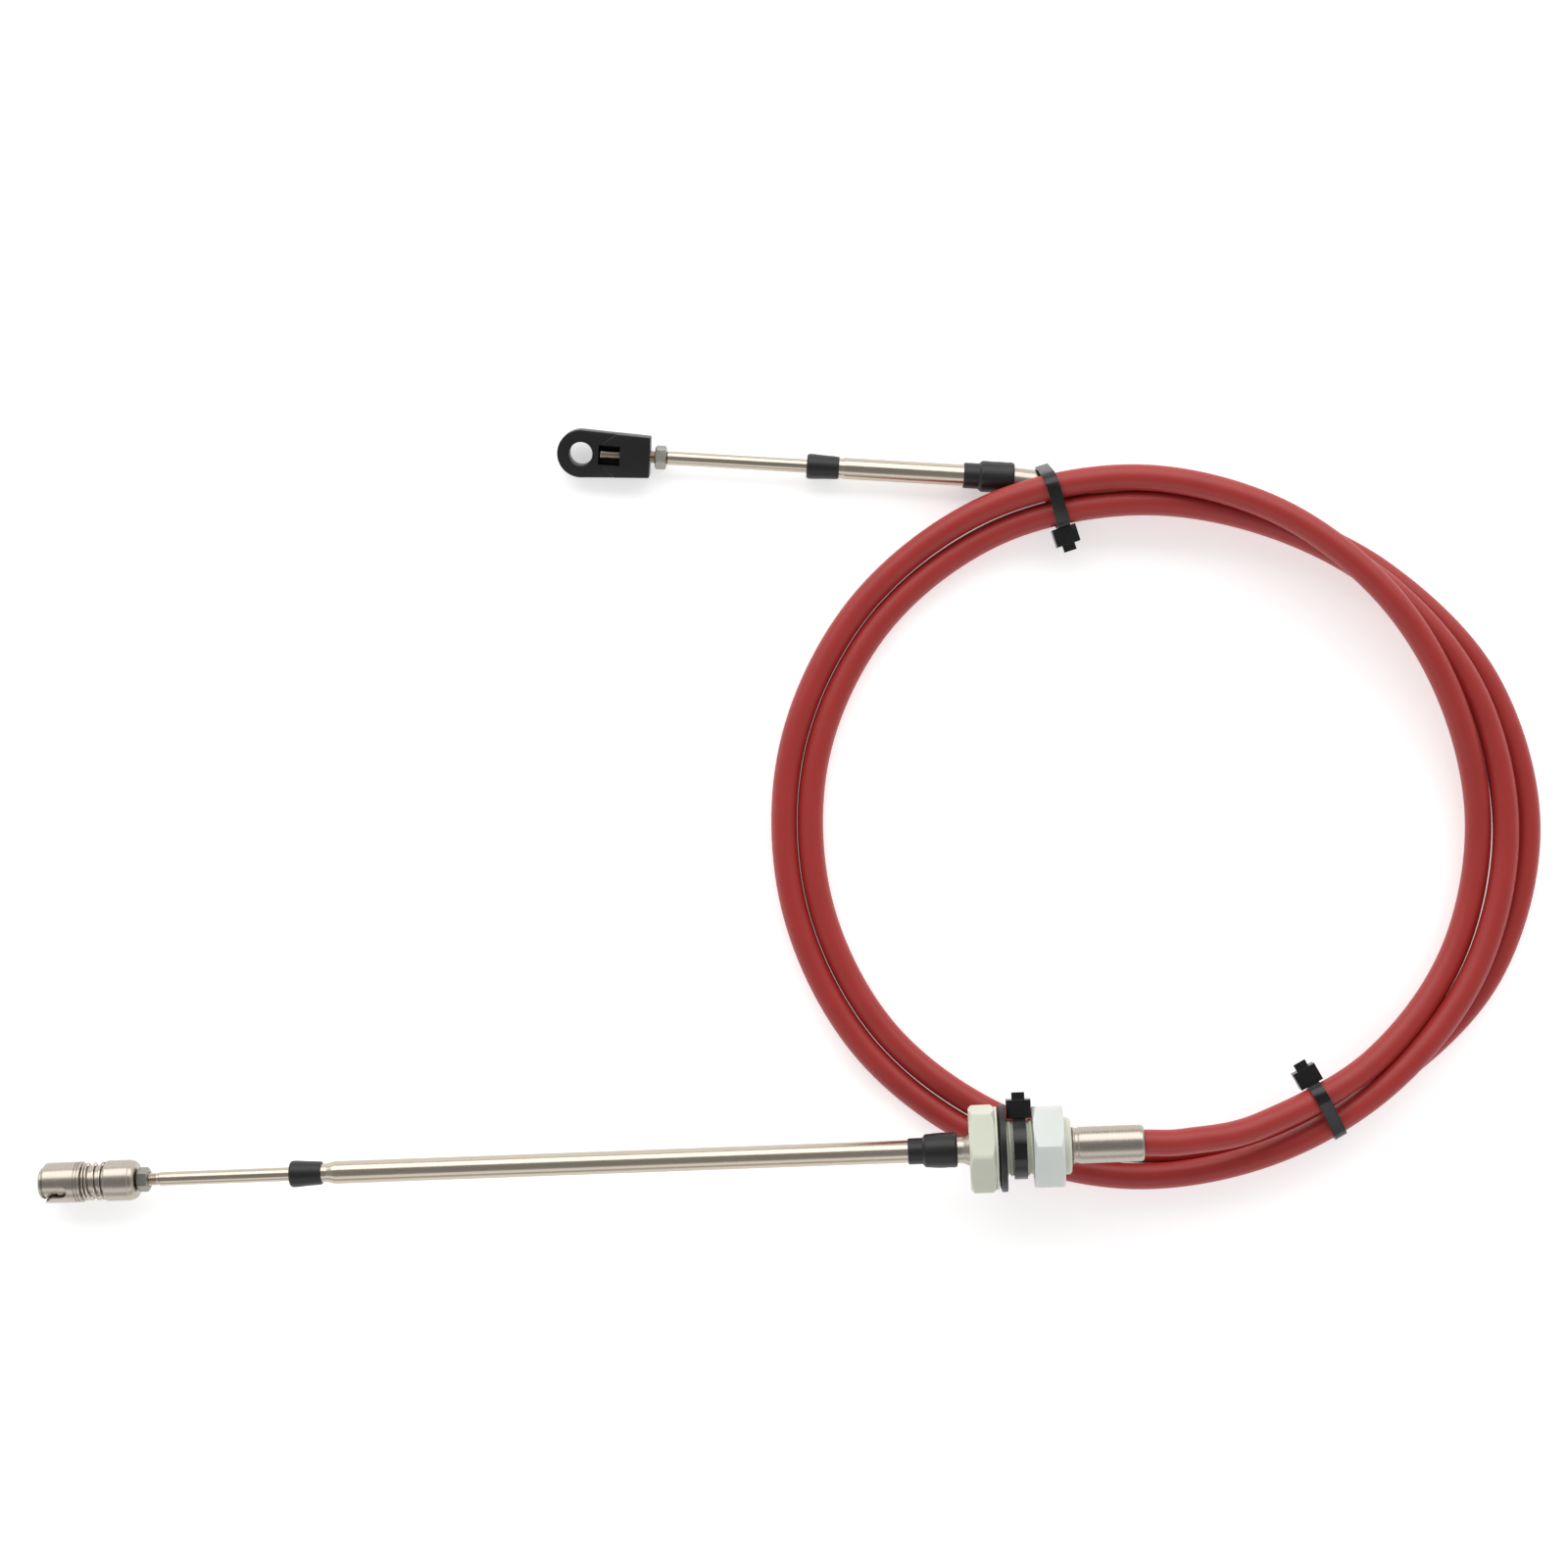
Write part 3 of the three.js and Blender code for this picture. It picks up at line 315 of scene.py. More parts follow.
def ring(x, radius_at, segments):
    """Points round the X axis at x. radius_at gives the radius at each angle."""
    angles = [2 * math.pi * i / segments for i in range(segments)]
    return [(x, radius_at(a) * math.sin(a), radius_at(a) * math.cos(a)) for a in angles]


def place_piece(bm, name, matrix, finish, body, nodes, sharp=32):
    """Moves the shape into the row frame and makes it a finished, smooth-shaded piece."""
    bmesh.ops.recalc_face_normals(bm, faces=bm.faces)
    bm.transform(matrix)
    mesh = bpy.data.meshes.new(name)
    bm.to_mesh(mesh)
    bm.free()
    mesh.shade_smooth()
    mesh.set_sharp_from_angle(angle=math.radians(sharp))
    mesh.materials.append(finish)
    piece = bpy.data.objects.new(name, mesh)
    bpy.context.collection.objects.link(piece)
    if body:
        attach(piece, body)
    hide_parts(*nodes)
    print(f"{name}: {len(mesh.polygons)} faces on {body or 'two bodies'}")
    return piece


# %% [markdown]
# ## The jacket
#
# The real cable is a steel conduit inside an extruded red skin. It keeps a nearly constant
# width while it winds round the coil two and a half times and climbs over itself. The route
# repeats the CAD model's own stations: a radius and a height every 24 degrees round the coil's
# centre. A Catmull-Rom curve through them gives the rings' centres, and each ring is carried
# from the one before with as little twist as possible.

# %% The jacket's route
ROUTE_STEPS = 14
COIL_CENTRE = Vector((176.1, -4.5, 0))
FIRST_STATION = 288
STATION_STEP = 24
LOWER_MOUTH = Vector((-8.8, -116.0, 31.2))
UPPER_MOUTH = Vector((-11.9, 125.9, 6.3))
MOUTH_LEAD = 16
COIL_STATIONS = [
    (115.6, 26.6), (117.8, 16.8), (120.0, 9.8), (119.8, 9.4), (117.8, 18.4), (119.5, 25.8),
    (124.9, 25.4), (131.1, 20.2), (136.6, 11.6), (140.2, 5.8), (141.6, 4.9), (140.9, 4.9),
    (139.0, 5.1), (135.1, 5.87), (132.0, 9.2),
    (128.3, 15.2), (127.6, 15.9), (129.2, 13.8), (129.7, 11.4), (127.4, 13.8), (122.9, 16.0),
    (120.2, 16.2), (122.0, 16.1), (126.8, 8.0), (130.3, 5.0), (131.7, 4.9), (131.0, 4.9),
    (129.0, 5.2), (124.9, 6.25), (122.2, 6.2),
    (123.4, 6.1), (128.4, 6.0), (136.9, 5.4), (139.5, 4.9), (135.7, 5.2), (127.8, 6.0),
    (124.1, 6.3),
]


def axis_of(matrix):
    """An end frame's +X direction."""
    return (matrix.to_3x3() @ Vector((1, 0, 0))).normalized()


def route_points():
    """The points that the jacket's axis passes through, in millimetres."""
    ahead, back = axis_of(lower), axis_of(upper_hub)
    points = [LOWER_MOUTH + ahead * s for s in (-MOUTH_LEAD, 0, MOUTH_LEAD)]
    for i, (radius, height) in enumerate(COIL_STATIONS):
        angle = math.radians(FIRST_STATION + STATION_STEP * i)
        points.append(Vector((radius * math.cos(angle), radius * math.sin(angle), height)))
    points += [UPPER_MOUTH + back * s for s in (MOUTH_LEAD, 0, -MOUTH_LEAD)]
    return [COIL_CENTRE + point for point in points]


def catmull_rom(points, steps):
    """A smooth curve through the points, with its ends carried straight on."""
    padded = [points[0] * 2 - points[1], *points, points[-1] * 2 - points[-2]]
    curve = []
    for a, b, c, d in zip(padded, padded[1:], padded[2:], padded[3:]):
        for step in range(steps):
            t = step / steps
            bend = (a * 2 - b * 5 + c * 4 - d) * t ** 2 + (b * 3 - a - c * 3 + d) * t ** 3
            curve.append((b * 2 + (c - a) * t + bend) / 2)
    return [*curve, points[-1]]


route = catmull_rom(route_points(), ROUTE_STEPS)
length = sum((b - a).length for a, b in zip(route, route[1:])) / 1000
print(f"{len(route)} ring centres, {length:.3f} m")

# %% [markdown]
# A Blender curve with a round bevel would also give a tube, but its rings can twist where the
# route climbs. Here each ring starts from the one before. The skin is drawn a little fatter
# than the CAD cord, so that neighbouring strands meet in a dark seam as they do when tied.

# %% The jacket's skin and its cord
JACKET_RADIUS = 4.88
JACKET_SIDES = 40


def tube_rings(centres, radius, sides):
    """Rings of points about a line of centres, each turned as little as possible."""
    rings = []
    side = Vector((0, 0, 1))
    for i, centre in enumerate(centres):
        along = centres[min(i + 1, len(centres) - 1)] - centres[max(i - 1, 0)]
        side = (side - along * side.dot(along) / along.length_squared).normalized()
        other = along.normalized().cross(side)
        angles = [2 * math.pi * k / sides for k in range(sides)]
        rings.append([centre + (side * math.cos(a) + other * math.sin(a)) * radius for a in angles])
    return rings


jacket = place_piece(skin(tube_rings(route, JACKET_RADIUS, JACKET_SIDES)), "red_skin",
                     TO_METRES, red_jacket, "cable", ["cable_jacket"])

# %% [markdown]
# ## Hubs and ferrules
#
# Each end of the jacket is crimped into a stainless hub. The hub's ball carries the guide
# tube, and its ferrule is a thin cup rolled down onto the jacket. A lathe made the real ones,
# so a turned profile suits them, with a rounding at each corner that would catch the light.

# %% Lower hub, through the bulkhead fitting
lower_hub_profile = [
    (-3.4, 0), (-3.2, 1.2), (-2.4, 2.4), (0, 3.4), (2.75, 2.0), (3.5, 2.0),
    (3.5, 4.98, 0.3), (8.4, 4.98, 0.8), (9.9, 5.7, 0.8), (12.1, 6.65, 0.4), (14.5, 6.65),
    (14.5, 5.0),
    (48.7, 5.0), (48.7, 6.5, 0.5), (49.4, 6.78, 0.3), (49.8, 6.4, 0.2), (50.6, 6.4, 0.3),
    (51.6, 6.78, 0.5), (74.2, 6.78, 0.9), (75.2, 6.2, 0.5), (75.2, 5.05), (55.2, 5.05), (55.2, 0),
]
place_piece(turned(lower_hub_profile), "lower_hub_and_ferrule", lower, turned_steel, "cable",
            ["lower_hub"])

# %% [markdown]
# The upper hub is slimmer: a long neck widens into a short ferrule, and the coil and a tie
# lie over it. It is modelled whole all the same.

# %% Upper hub, half hidden under the coil
upper_hub_profile = [
    (-3.4, 0), (-3.2, 1.2), (-2.4, 2.4), (0, 3.4), (2.75, 2.0), (3.5, 2.0),
    (3.5, 4.44, 0.3), (23.6, 4.44, 0.8), (25.2, 5.0, 0.8), (26.6, 5.55, 0.8),
    (49.0, 5.55, 0.4), (49.7, 5.3, 0.3), (49.7, 5.05), (29.7, 5.05), (29.7, 0),
]
place_piece(turned(upper_hub_profile), "upper_hub_and_ferrule", upper_hub, turned_steel, "cable",
            ["upper_hub"])

# %% [markdown]
# ## Guide tubes and wipers
#
# A guide tube is a drawn tube with a cone rolled at its outer end and a cup for the ball at the
# other. A cylinder with a Solidify modifier would miss both, so the wall is turned from one
# closed profile, outside and inside.

# %% Guide tubes
def guide_tube(radius, shoulder, cone, groove, neck):
    """The drawn tube: its rolled end, its wall and the cup that holds the ball."""
    root = shoulder - cone
    start = root - groove - 6
    return [
        (start, neck), (root - 0.3, neck, 0.5), (root + cone * 0.45, (neck + radius) / 2, 0.9),
        (shoulder, radius, 1.2), (-5.5, radius), (-3.7, 4.9), (2.4, 4.9), (2.4, 2.82),
        (0, 3.7), (-2.2, 2.95), (start, 2.95),
    ]


place_piece(turned(guide_tube(4.25, -226.2, 2.6, 2.2, 3.49), loop=True), "lower_guide_tube",
            lower, drawn_steel, "lower_guide", ["lower_tube"])
place_piece(turned(guide_tube(4.07, -57.3, 1.2, 1.0, 3.77), loop=True), "upper_guide_tube",
            upper, drawn_steel, "upper_guide", ["upper_tube"])

# %% [markdown]
# The wiper is a rubber cup pushed over the tube's rolled end, and it keeps dirt off the rod.
# Its mouth is thicker than its tail, and its sides are a little hollow, so a profile with wide
# roundings is enough.

# %% Wipers
WIPER_SEAT = 6.3
ROD_BORE = 2.9


def wiper(start, end, outer, inner, bore):
    """A rubber cup: rounded mouth, slightly hollow sides and a thinner tail."""
    middle = (start + end) / 2
    return [
        (start, ROD_BORE), (start, outer - 0.5, 0.4), (start + 0.7, outer, 0.5),
        (start + 2.6, outer, 1.0), (middle, (outer + inner) / 2 - 0.03, 1.0),
        (end - 1.2, inner, 0.8), (end, inner - 0.15, 0.3), (end, bore),
        (end - WIPER_SEAT, bore), (end - WIPER_SEAT, ROD_BORE),
    ]


place_piece(turned(wiper(-242.9, -231.0, 4.96, 4.4, 3.65), loop=True), "lower_wiper_cup",
            lower, black_rubber, "lower_guide", ["lower_wiper"])
place_piece(turned(wiper(-71.7, -59.5, 4.72, 4.32, 3.92), loop=True), "upper_wiper_cup",
            upper, black_rubber, "upper_guide", ["upper_wiper"])

# %% [markdown]
# ## Rods with rolled threads
#
# The rods are ground bar with a thread rolled on the outer end. A true thread is a helix: its
# ridge moves one pitch along the axis for each turn. A stack of rings gives that shape if the
# radius depends on the place along the axis and on the angle together.

# %% A function for threads
def thread_wave(turns):
    """From 0 in the thread's root to 1 on its crest, with a small flat on each."""
    place = abs((turns % 1) * 2 - 1)
    return min(1, max(0, (place - 0.12) / 0.72))


def threaded_rings(start, end, radius, depth, pitch, segments, per_turn=12, fade=0.8):
    """Rings of a right-handed thread that fades out at both ends."""
    count = math.ceil((end - start) / pitch * per_turn)
    rings = []
    for i in range(count + 1):
        x = start + (end - start) * i / count
        ease = max(0, min(1, (x - start) / fade, (end - x) / fade))

        def radius_at(angle, x=x, ease=ease):
            wave = thread_wave(x / pitch + angle / (2 * math.pi))
            return radius - depth * (1 - wave) * ease

        rings.append(ring(x, radius_at, segments))
    return rings

# %% [markdown]
# Each rod is ground bar, 5.2 mm thick, and its stud is M5 with a 0.8 mm pitch. Plain rings at
# both ends of the thread give the lead-in chamfer and the neck before the full diameter.

# %% Push rods
ROD_SIDES = 48
ROD_RADIUS = 2.6
STUD_RADIUS = 2.42
STUD_THREAD_DEPTH = 0.45
STUD_PITCH = 0.8
STUD_NECK = 2.2


def push_rod(stud_start, plain, inner):
    """A chamfered M5 stud with its thread, then the plain rod."""
    chamfer = [(stud_start, 1.7), (stud_start + 0.35, 2.1)]
    bar = [(plain - 0.3, STUD_NECK), (plain, STUD_NECK), (plain + 0.4, ROD_RADIUS),
           (inner - 0.4, ROD_RADIUS), (inner, STUD_NECK)]
    rings = [ring(x, lambda a, r=r: r, ROD_SIDES) for x, r in chamfer]
    rings += threaded_rings(stud_start + 0.4, plain - 0.6, STUD_RADIUS, STUD_THREAD_DEPTH,
                            STUD_PITCH, ROD_SIDES)
    rings += [ring(x, lambda a, r=r: r, ROD_SIDES) for x, r in bar]
    return skin(rings)


place_piece(push_rod(-310.0, -292.7, -196.0), "lower_threaded_rod", lower, drawn_steel,
            "lower_push_rod", ["lower_rod"])
place_piece(push_rod(-149.9, -124.6, -24.5), "upper_threaded_rod", upper, drawn_steel,
            "upper_push_rod", ["upper_rod"])

# %% [markdown]
# ## Hexagons
#
# A nut is a hexagon whose corners are turned off at 30 degrees, which leaves curved edges. The
# same rings work here: at each angle the radius is the smaller of the hexagon's and the cone's.
# A small corner radius makes the flats meet softly, as on a moulded nut.

# %% Functions for hexagons
HEX_SEGMENTS = 144
CHAMFER_SLOPE = math.tan(math.radians(30))


def hexagon_radius(angle, flats, corner):
    """The radius of a hexagon with rounded corners at an angle, with a corner at 0."""
    apothem = flats / 2
    off = abs((angle + math.pi / 6) % (math.pi / 3) - math.pi / 6)
    centre = (apothem - corner) / math.cos(math.pi / 6)
    tangent = math.atan((apothem - corner) * math.tan(math.pi / 6) / apothem)
    if off >= math.pi / 6 - tangent:
        return apothem / math.cos(math.pi / 6 - off)
    return centre * math.cos(off) + math.sqrt(corner ** 2 - (centre * math.sin(off)) ** 2)


def hexagon_rings(start, end, flats, chamfer, corner, turn):
    """Rings of a chamfered hexagon, from its one face's rim to the other's."""
    widest = hexagon_radius(0, flats, corner)
    rim = widest - chamfer / CHAMFER_SLOPE
    steps = [chamfer * i / 8 for i in range(9)]
    places = [start + s for s in steps] + [end - s for s in reversed(steps)]
    rings = []
    for x in places:
        cone = rim + min(x - start, end - x) / CHAMFER_SLOPE

        def radius_at(angle, cone=cone):
            return min(cone, hexagon_radius(angle - math.radians(turn), flats, corner))

        rings.append(ring(x, radius_at, HEX_SEGMENTS))
    return rings


def bored(rings, start, end, bore, chamfer):
    """The hexagon's rings closed through a chamfered bore."""
    inside = [(start, bore + chamfer), (start + chamfer, bore),
              (end - chamfer, bore), (end, bore + chamfer)]
    back = [ring(x, lambda a, r=r: r, HEX_SEGMENTS) for x, r in reversed(inside)]
    return skin([*rings, *back], loop=True)

# %% [markdown]
# A jam nut locks each end fitting on its stud. The two turn angles set which facets face the
# camera, as the photograph shows them. The plating is duller than the stainless rods.

# %% Jam nuts
JAM_FLATS = 8
JAM_BORE = 2.6


def jam_nut(start, end, turn):
    """A small steel nut with a light chamfer."""
    outside = hexagon_rings(start, end, JAM_FLATS, 0.5, 0.12, turn)
    return bored(outside, start, end, JAM_BORE, 0.3)


place_piece(jam_nut(-300.8, -296.6, -25), "lower_steel_nut", lower, zinc, "lower_push_rod",
            ["lower_jam_nut"])
place_piece(jam_nut(-128.9, -124.7, -26), "upper_steel_nut", upper, zinc, "upper_push_rod",
            ["upper_jam_nut"])

# %% [markdown]
# ## The bulkhead fitting
#
# The fitting clamps a hull wall between its head and its nut. Both are moulded in nylon with
# soft corners. The barrel carries a coarse thread, and a black washer sits under the head's
# flange, cupped where the flange pushes it.

# %% Nylon head, flange and threaded barrel
NYLON_FLATS = 29.7
NYLON_CHAMFER = 1.3
NYLON_CORNER = 0.9
BARREL_RADIUS = 10.5


def round_rings(profile):
    """Plain rings of a rounded profile."""
    return [ring(p.x, lambda a, r=p.y: r, HEX_SEGMENTS) for p in rounded(profile)]


head = hexagon_rings(11.0, 20.6, NYLON_FLATS, NYLON_CHAMFER, NYLON_CORNER, -4)
flange = round_rings([
    (20.6, 15.3), (20.7, 15.3, 0.2), (21.5, 15.3, 0.3), (21.5, 10.0), (21.8, 9.9),
])
barrel = threaded_rings(21.9, 45.4, BARREL_RADIUS, 0.9, 2.0, HEX_SEGMENTS, 10, 1.6)
rest = round_rings([
    (45.6, BARREL_RADIUS), (47.6, BARREL_RADIUS, 0.5), (48.4, 9.7, 0.4), (48.4, 5.3),
    (14.8, 5.3), (14.8, 6.95), (12.1, 6.95), (11.6, 7.4, 0.3), (11.0, 8.0),
])
place_piece(skin([*head, *flange, *barrel, *rest], loop=True), "nylon_body", lower, pale_nylon,
            "cable", ["bulkhead_body"])

# %% [markdown]
# The nut is loose on the barrel and turned a few degrees from the head, so its facets catch the
# light differently. The washer is rubber, thin enough to be one closed profile that leans out.

# %% Nylon nut and black washer
NUT_START, NUT_END = 34.5, 45.7
outside = hexagon_rings(NUT_START, NUT_END, NYLON_FLATS, NYLON_CHAMFER, NYLON_CORNER, 7)
nut = bored(outside, NUT_START, NUT_END, BARREL_RADIUS + 0.3, 0.5)
place_piece(nut, "nylon_nut", lower, white_nylon, "cable", ["bulkhead_nut"])
washer_profile = [
    (21.8, 10.8), (21.8, 14.1, 0.4), (22.2, 15.6, 0.6), (22.6, 16.15, 0.4), (24.7, 16.15, 0.4),
    (24.5, 15.4, 0.6), (24.1, 14.1, 0.4), (24.1, 10.8),
]
place_piece(turned(washer_profile, loop=True), "black_washer", lower, black_rubber, "cable",
            ["sealing_washer"])

# %% [markdown]
# ## Rubber boots
#
# A boot covers each swivel. It grips the tube and the hub, so it has to bend when the tube
# swings. The piece is turned once and set in place.

# %% Boots over the swivels
def boot_profile(small, left, right, start, step, end, bore, neck):
    """A small sleeve, a step up to the cup and slightly wavy sides."""
    return [
        (start, bore), (start, small - 0.3, 0.25), (start + 0.4, small, 0.3),
        (step - 0.2, small, 0.5), (step + 0.7, left, 0.6), (step + 2.2, left + 0.04, 1.0),
        (step * 0.3, right - 0.14, 1.2), (1.2, right, 1.2), (3.2, right - 0.12, 1.0),
        (end - 0.9, right, 0.6), (end, right - 0.5, 0.5),
        (end, neck), (3.8, neck), (3.4, 5.2), (step + 0.8, 5.2), (step, bore),
    ]


lower_boot = place_piece(
    turned(boot_profile(4.85, 6.12, 6.52, -11.7, -6.1, 6.5, 4.4, 5.13), loop=True),
    "lower_rubber_boot", lower, black_rubber, None, ["lower_boot"])
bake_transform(lower_boot)
upper_boot = place_piece(
    turned(boot_profile(4.8, 5.85, 5.92, -12.5, -6.5, 6.5, 4.22, 5.0), loop=True),
    "upper_rubber_boot", upper, black_rubber, None, ["upper_boot"])
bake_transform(upper_boot)

# %% [markdown]
# ## The quick-release coupler
#
# The coupler is turned from bar. Its sleeve slides back against a spring, and a slot with a
# wide mouth runs along the sleeve. A real one has its slot milled, so here a cutter of the
# slot's outline is taken out of the turned sleeve with a Boolean modifier.

# %% A function for cutting and joining
def temporary(bm):
    """A short-lived object for a modifier to work with."""
    bmesh.ops.recalc_face_normals(bm, faces=bm.faces)
    mesh = bpy.data.meshes.new("temporary")
    bm.to_mesh(mesh)
    bm.free()
    holder = bpy.data.objects.new("temporary", mesh)
    bpy.context.collection.objects.link(holder)
    return holder


def shaped(base, *steps):
    """Applies steps of (operation, bmesh) to a bmesh and returns the result."""
    holder = temporary(base)
    tools = []
    for operation, tool in steps:
        other = temporary(tool)
        tools.append(other)
        modifier = holder.modifiers.new("shape", "BOOLEAN")
        modifier.operation = operation
        modifier.solver = "EXACT"
        modifier.object = other
    bpy.context.view_layer.update()
    evaluated = holder.evaluated_get(bpy.context.evaluated_depsgraph_get())
    result = bmesh.new()
    result.from_mesh(evaluated.to_mesh())
    evaluated.to_mesh_clear()
    for done in [holder, *tools]:
        mesh = done.data
        bpy.data.objects.remove(done)
        bpy.data.meshes.remove(mesh)
    return result


def prism(outline, low, high):
    """An outline of (x, y) points extruded from one height to another."""
    bm = bmesh.new()
    face = bm.faces.new([bm.verts.new((x, y, low)) for x, y in outline])
    grown = bmesh.ops.extrude_face_region(bm, geom=[face])["geom"]
    moved = [item for item in grown if isinstance(item, bmesh.types.BMVert)]
    bmesh.ops.translate(bm, verts=moved, vec=(0, 0, high - low))
    return bm


def arc(x, y, radius, start, end, steps):
    """Points of an arc, its angles in degrees."""
    angles = [math.radians(start + (end - start) * i / steps) for i in range(steps + 1)]
    return [(x + radius * math.cos(a), y + radius * math.sin(a)) for a in angles]

# %% [markdown]
# The barrel runs the coupler's full length: an end ring, a waist that the sleeve hides, and a
# rear collar against which the spring rests. The socket for the stud is part of the same turned
# profile, so it needs no Boolean.

# %% Coupler barrel and collar
socket = [(-324.8, 0.0), (-324.8, 2.0), (-325.8, 4.1), (COUPLER_START, 4.1)]
coupler_profile = [
    (COUPLER_START, 5.3, 0.2), (-337.2, 5.9, 0.3), (-336.6, 5.9), (-336.5, 5.75),
    (-336.3, 5.9), (-336.2, 5.9, 0.1), (-336.2, 5.5), (-330.5, 5.5), (-330.5, 5.9, 0.2),
    (-312.7, 5.9), (-312.7, 7.3, 0.2), (-312.3, 7.6, 0.3), (-303.4, 7.6, 0.2),
    (-303.2, 7.25, 0.1), (-302.2, 7.25, 0.3), (-301.1, 6.4, 0.3), (-301.1, 2.9),
    (-311.0, 2.9), (-311.0, 0.0),
]
place_piece(turned(socket + coupler_profile), "coupler_barrel", lower, turned_steel,
            "lower_push_rod", ["coupler_body"])

# %% [markdown]
# The sleeve is pulled back to let the stud in. Its slot opens in a V at the end, and two fine
# grooves behind the slot give a grip. The grooves belong to the turned profile, and only the
# slot is cut.

# %% Sprung sleeve with its slot
SLOT_WIDTH = 2.7
SLOT_MOUTH = 5.35
SLOT_ROLL = 22
sleeve_profile = [
    (-335.9, 5.8), (-335.9, 7.2, 0.15), (-335.5, 7.57, 0.25), (-323.9, 7.57, 0.05), (-323.8, 7.2),
    (-323.4, 7.2), (-323.3, 7.57, 0.05), (-322.8, 7.57, 0.05), (-322.7, 7.2), (-322.3, 7.2),
    (-322.2, 7.57, 0.05), (-321.8, 7.57, 0.15), (-321.5, 7.3, 0.15), (-321.5, 6.2), (-334.8, 6.2),
    (-334.8, 5.8),
]
slot_outline = [
    (-337.2, SLOT_MOUTH), (-335.9, SLOT_MOUTH), (-332.5, SLOT_WIDTH),
    *arc(-329.2, 0, SLOT_WIDTH, 90, -90, 12),
    (-332.5, -SLOT_WIDTH), (-335.9, -SLOT_MOUTH), (-337.2, -SLOT_MOUTH),
]
slot_cutter = prism(slot_outline, 0.5, 9.0)
bmesh.ops.rotate(slot_cutter, verts=slot_cutter.verts, cent=(0, 0, 0),
                 matrix=Matrix.Rotation(math.radians(SLOT_ROLL), 3, "X"))
sleeve = shaped(turned(sleeve_profile, loop=True, segments=96), ("DIFFERENCE", slot_cutter))
place_piece(sleeve, "slotted_sleeve", lower, turned_steel, "coupler_sleeve", ["release_sleeve"])

# %% [markdown]
# The spring is a wire in open turns, with the last turn at each end closed up so that it sits
# flat. It shortens as the sleeve slides back; here it is drawn at one length.

# %% Coupler spring
def spring_line(start, end, radius, turns, wire):
    """The wire's centres: closed end turns and open ones between them."""
    closed = wire * 2 + 0.08
    points = []
    for i in range(turns * 40 + 1):
        turn = i / 40
        ends = min(turn, 1) + max(turn - turns + 1, 0)
        middle = min(1, max(0, (turn - 1) / (turns - 2)))
        x = start + closed * ends + (end - start - 2 * closed) * middle
        angle = 2 * math.pi * turn
        points.append(Vector((x, radius * math.cos(angle), radius * math.sin(angle))))
    return points


WIRE_RADIUS = 0.39
wire_centres = spring_line(-320.8, -313.4, 6.75, 4, WIRE_RADIUS)
spring = place_piece(skin(tube_rings(wire_centres, WIRE_RADIUS, 10)), "wire_spring", lower,
                     spring_steel, None, ["release_spring"])
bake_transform(spring)

# %% [markdown]
# ## The plastic eye
#
# The eye is one moulding: a flat paddle with a hole, a thicker block towards the rod, and an
# open pocket where the stud's end shows. The plate and the block are bevelled first, then
# joined, and then the hole is cut with a cutter that flares at both faces, and the pocket and
# the stud's bore with plain ones.

# %% Eye body
EYE_CENTRE = -156.85
EYE_END = -130.8
EYE_ROLL = 13
EYE_RADIUS = 8.95
EYE_HALF_WIDTH = 7.6
EYE_HOLE = 4.38
PLATE_HALF, BLOCK_HALF = 3.5, 4.5


def softened(bm, offset):
    """Bevels every sharp edge."""
    edges = [e for e in bm.edges if e.calc_face_angle(0) > math.radians(35)]
    bmesh.ops.bevel(bm, geom=edges, offset=offset, segments=3, profile=0.5, affect="EDGES",
                    material=-1, clamp_overlap=True)
    return bm


def flared_hole(x, radius, top, flare):
    """A cutter for a round hole along Z with a flare at both faces."""
    bm = turned([(-top - 2, 0), (-top - 2, radius + 2 + flare), (-top + flare, radius),
                 (top - flare, radius), (top + 2, radius + 2 + flare), (top + 2, 0)], segments=64)
    bmesh.ops.rotate(bm, verts=bm.verts, cent=(0, 0, 0),
                     matrix=Matrix.Rotation(math.pi / 2, 3, "Y"))
    bmesh.ops.translate(bm, verts=bm.verts, vec=(x, 0, 0))
    return bm


lean = math.degrees(math.asin((EYE_RADIUS - EYE_HALF_WIDTH) / (EYE_END - EYE_CENTRE)))
plate_outline = [(EYE_END, -EYE_HALF_WIDTH), (EYE_END, EYE_HALF_WIDTH),
                 *arc(EYE_CENTRE, 0, EYE_RADIUS, 90 - lean, 270 + lean, 48)]
plate = softened(prism(plate_outline, -PLATE_HALF, PLATE_HALF), 0.45)
block_outline = [
    (EYE_END, -7.58), (EYE_END, 7.58), (-143.7, 8.2),
    (-148.7, 4.7), (-148.7, -4.7), (-143.7, -8.2),
]
block = softened(prism(block_outline, -BLOCK_HALF, BLOCK_HALF), 0.35)
hole = flared_hole(EYE_CENTRE, EYE_HOLE, PLATE_HALF, 0.4)
pocket = prism([(-150.2, -3.7), (-142.1, -3.7), (-142.1, 3.7), (-150.2, 3.7)], -3.3, 9)
stud_bore = turned([(-146, 0), (-146, 2.7), (EYE_END + 1, 2.7), (EYE_END + 1, 0)], segments=40)
eye = shaped(plate, ("UNION", block), ("DIFFERENCE", hole), ("DIFFERENCE", pocket),
             ("DIFFERENCE", stud_bore))
bmesh.ops.rotate(eye, verts=eye.verts, cent=(0, 0, 0),
                 matrix=Matrix.Rotation(math.radians(EYE_ROLL), 3, "X"))
place_piece(eye, "plastic_eye", upper, black_nylon, "upper_push_rod", ["rod_eye"],
            sharp=28)

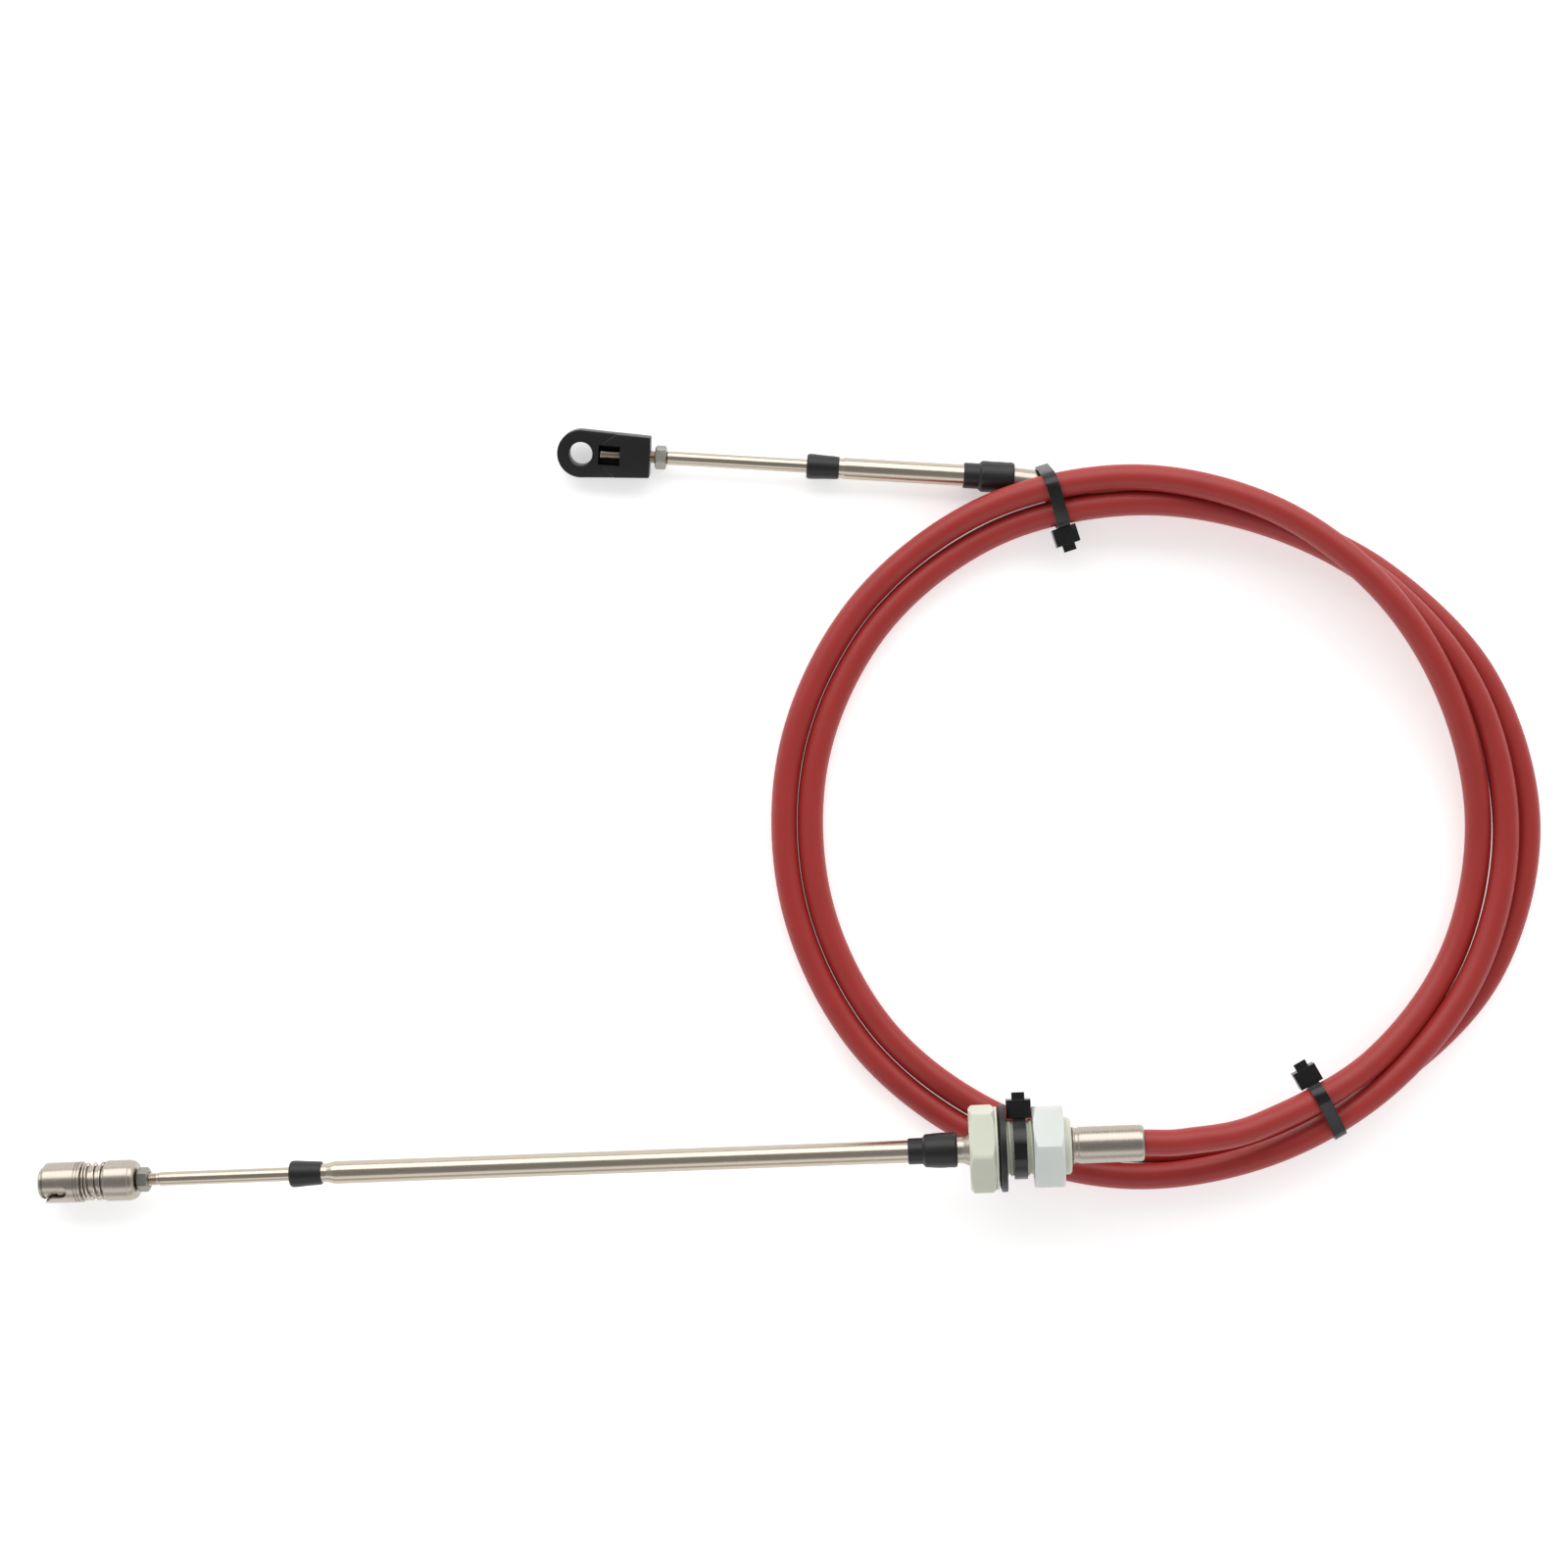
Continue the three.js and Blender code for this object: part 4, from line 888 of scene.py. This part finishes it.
# %% [markdown]
# ## Cable ties
#
# A cable tie is a thin moulded strap pulled tight through its own head. The CAD straps already
# hug what they bind, so each tie starts from a copy of its CAD solid, and a bevel rounds the
# strap's edges, the head and the cut tail.

# %% Three ties
TIE_BEVEL = 0.32


def tie(node, name):
    """A softened copy of a CAD tie."""
    bm = bmesh.new()
    bm.from_mesh(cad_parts[node].data)
    bmesh.ops.transform(bm, verts=bm.verts, matrix=Matrix.Scale(1 / MM, 4))
    bmesh.ops.remove_doubles(bm, verts=bm.verts, dist=0.01)
    bmesh.ops.dissolve_limit(bm, angle_limit=math.radians(1), verts=bm.verts, edges=bm.edges)
    softened(bm, TIE_BEVEL)
    return place_piece(bm, name, TO_METRES, tie_nylon, "cable", [node])


tie("tie_top", "top_tie")
tie("tie_bottom", "bottom_tie")
tie("tie_fitting", "middle_tie")

# %% [markdown]
# ## Floor and light
#
# The part lies on a white table. The table glows a little, as a light table does, so that it
# stays white while the pieces keep their mid tones and only faint shadows show.

# %% White floor
FLOOR_REACH = 4
FLOOR_GLOW = 0.45
floor_finish, tree, shader = new_material("white table")
shader.inputs["Base Color"].default_value = colour("f4f4f4")
shader.inputs["Roughness"].default_value = 0.9
shader.inputs["Specular IOR Level"].default_value = 0.1
shader.inputs["Emission Color"].default_value = colour("ffffff")
shader.inputs["Emission Strength"].default_value = FLOOR_GLOW
corners = [(x * FLOOR_REACH, y * FLOOR_REACH, 0) for x, y in ((-1, -1), (1, -1), (1, 1), (-1, 1))]
floor_mesh = bpy.data.meshes.new("floor")
floor_mesh.from_pydata(corners, [], [(0, 1, 2, 3)])
floor_mesh.materials.append(floor_finish)
floor = bpy.data.objects.new("floor", floor_mesh)
bpy.context.collection.objects.link(floor)
print("floor:", FLOOR_REACH * 2, "m wide")

# %% [markdown]
# A long soft box beyond the photograph's top edge puts a bright band on the upper half of each
# tube. The weaker light on the near side gives the lower half its mid tone.

# %% Studio lights
TABLE_MIDDLE = Vector((0.05, 0, 0))


def soft_box(name, place, size, power):
    """A rectangular area light aimed at the middle of the table."""
    data = bpy.data.lights.new(name, "AREA")
    data.shape = "RECTANGLE"
    data.size, data.size_y = size
    data.energy = power
    light = bpy.data.objects.new(name, data)
    light.location = place
    aim = TABLE_MIDDLE - Vector(place)
    light.rotation_euler = aim.to_track_quat("-Z", "Y").to_euler()
    bpy.context.collection.objects.link(light)
    print(f"{name}: {size[0]} by {size[1]} m, {power} W")


soft_box("long_soft_box", (0.05, 1.5, 1.1), (4.0, 1.6), 40)
soft_box("near_fill", (0.05, -1.2, 0.9), (3.0, 0.7), 5)

# %% [markdown]
# The rest of the light comes from a plain white room. It fades from the horizon to a darker
# patch straight above, where a camera and its stand would be, and the metal reflects that.

# %% The room
HORIZON_LIGHT, ZENITH_LIGHT = 0.7, 0.3
world = bpy.data.worlds.new("studio")
world.use_nodes = True
tree = world.node_tree
background = tree.nodes["Background"]
background.inputs["Color"].default_value = (1, 1, 1, 1)
direction = add(tree, "ShaderNodeTexCoord").outputs["Generated"]
height = add(tree, "ShaderNodeSeparateXYZ", {"Vector": direction}).outputs["Z"]
fade = {"Value": height, "To Min": HORIZON_LIGHT, "To Max": ZENITH_LIGHT}
strength = add(tree, "ShaderNodeMapRange", fade).outputs["Result"]
tree.links.new(strength, background.inputs["Strength"])
bpy.context.scene.world = world
bpy.context.scene.view_settings.view_transform = "Standard"
print("room light:", HORIZON_LIGHT, "to", ZENITH_LIGHT)
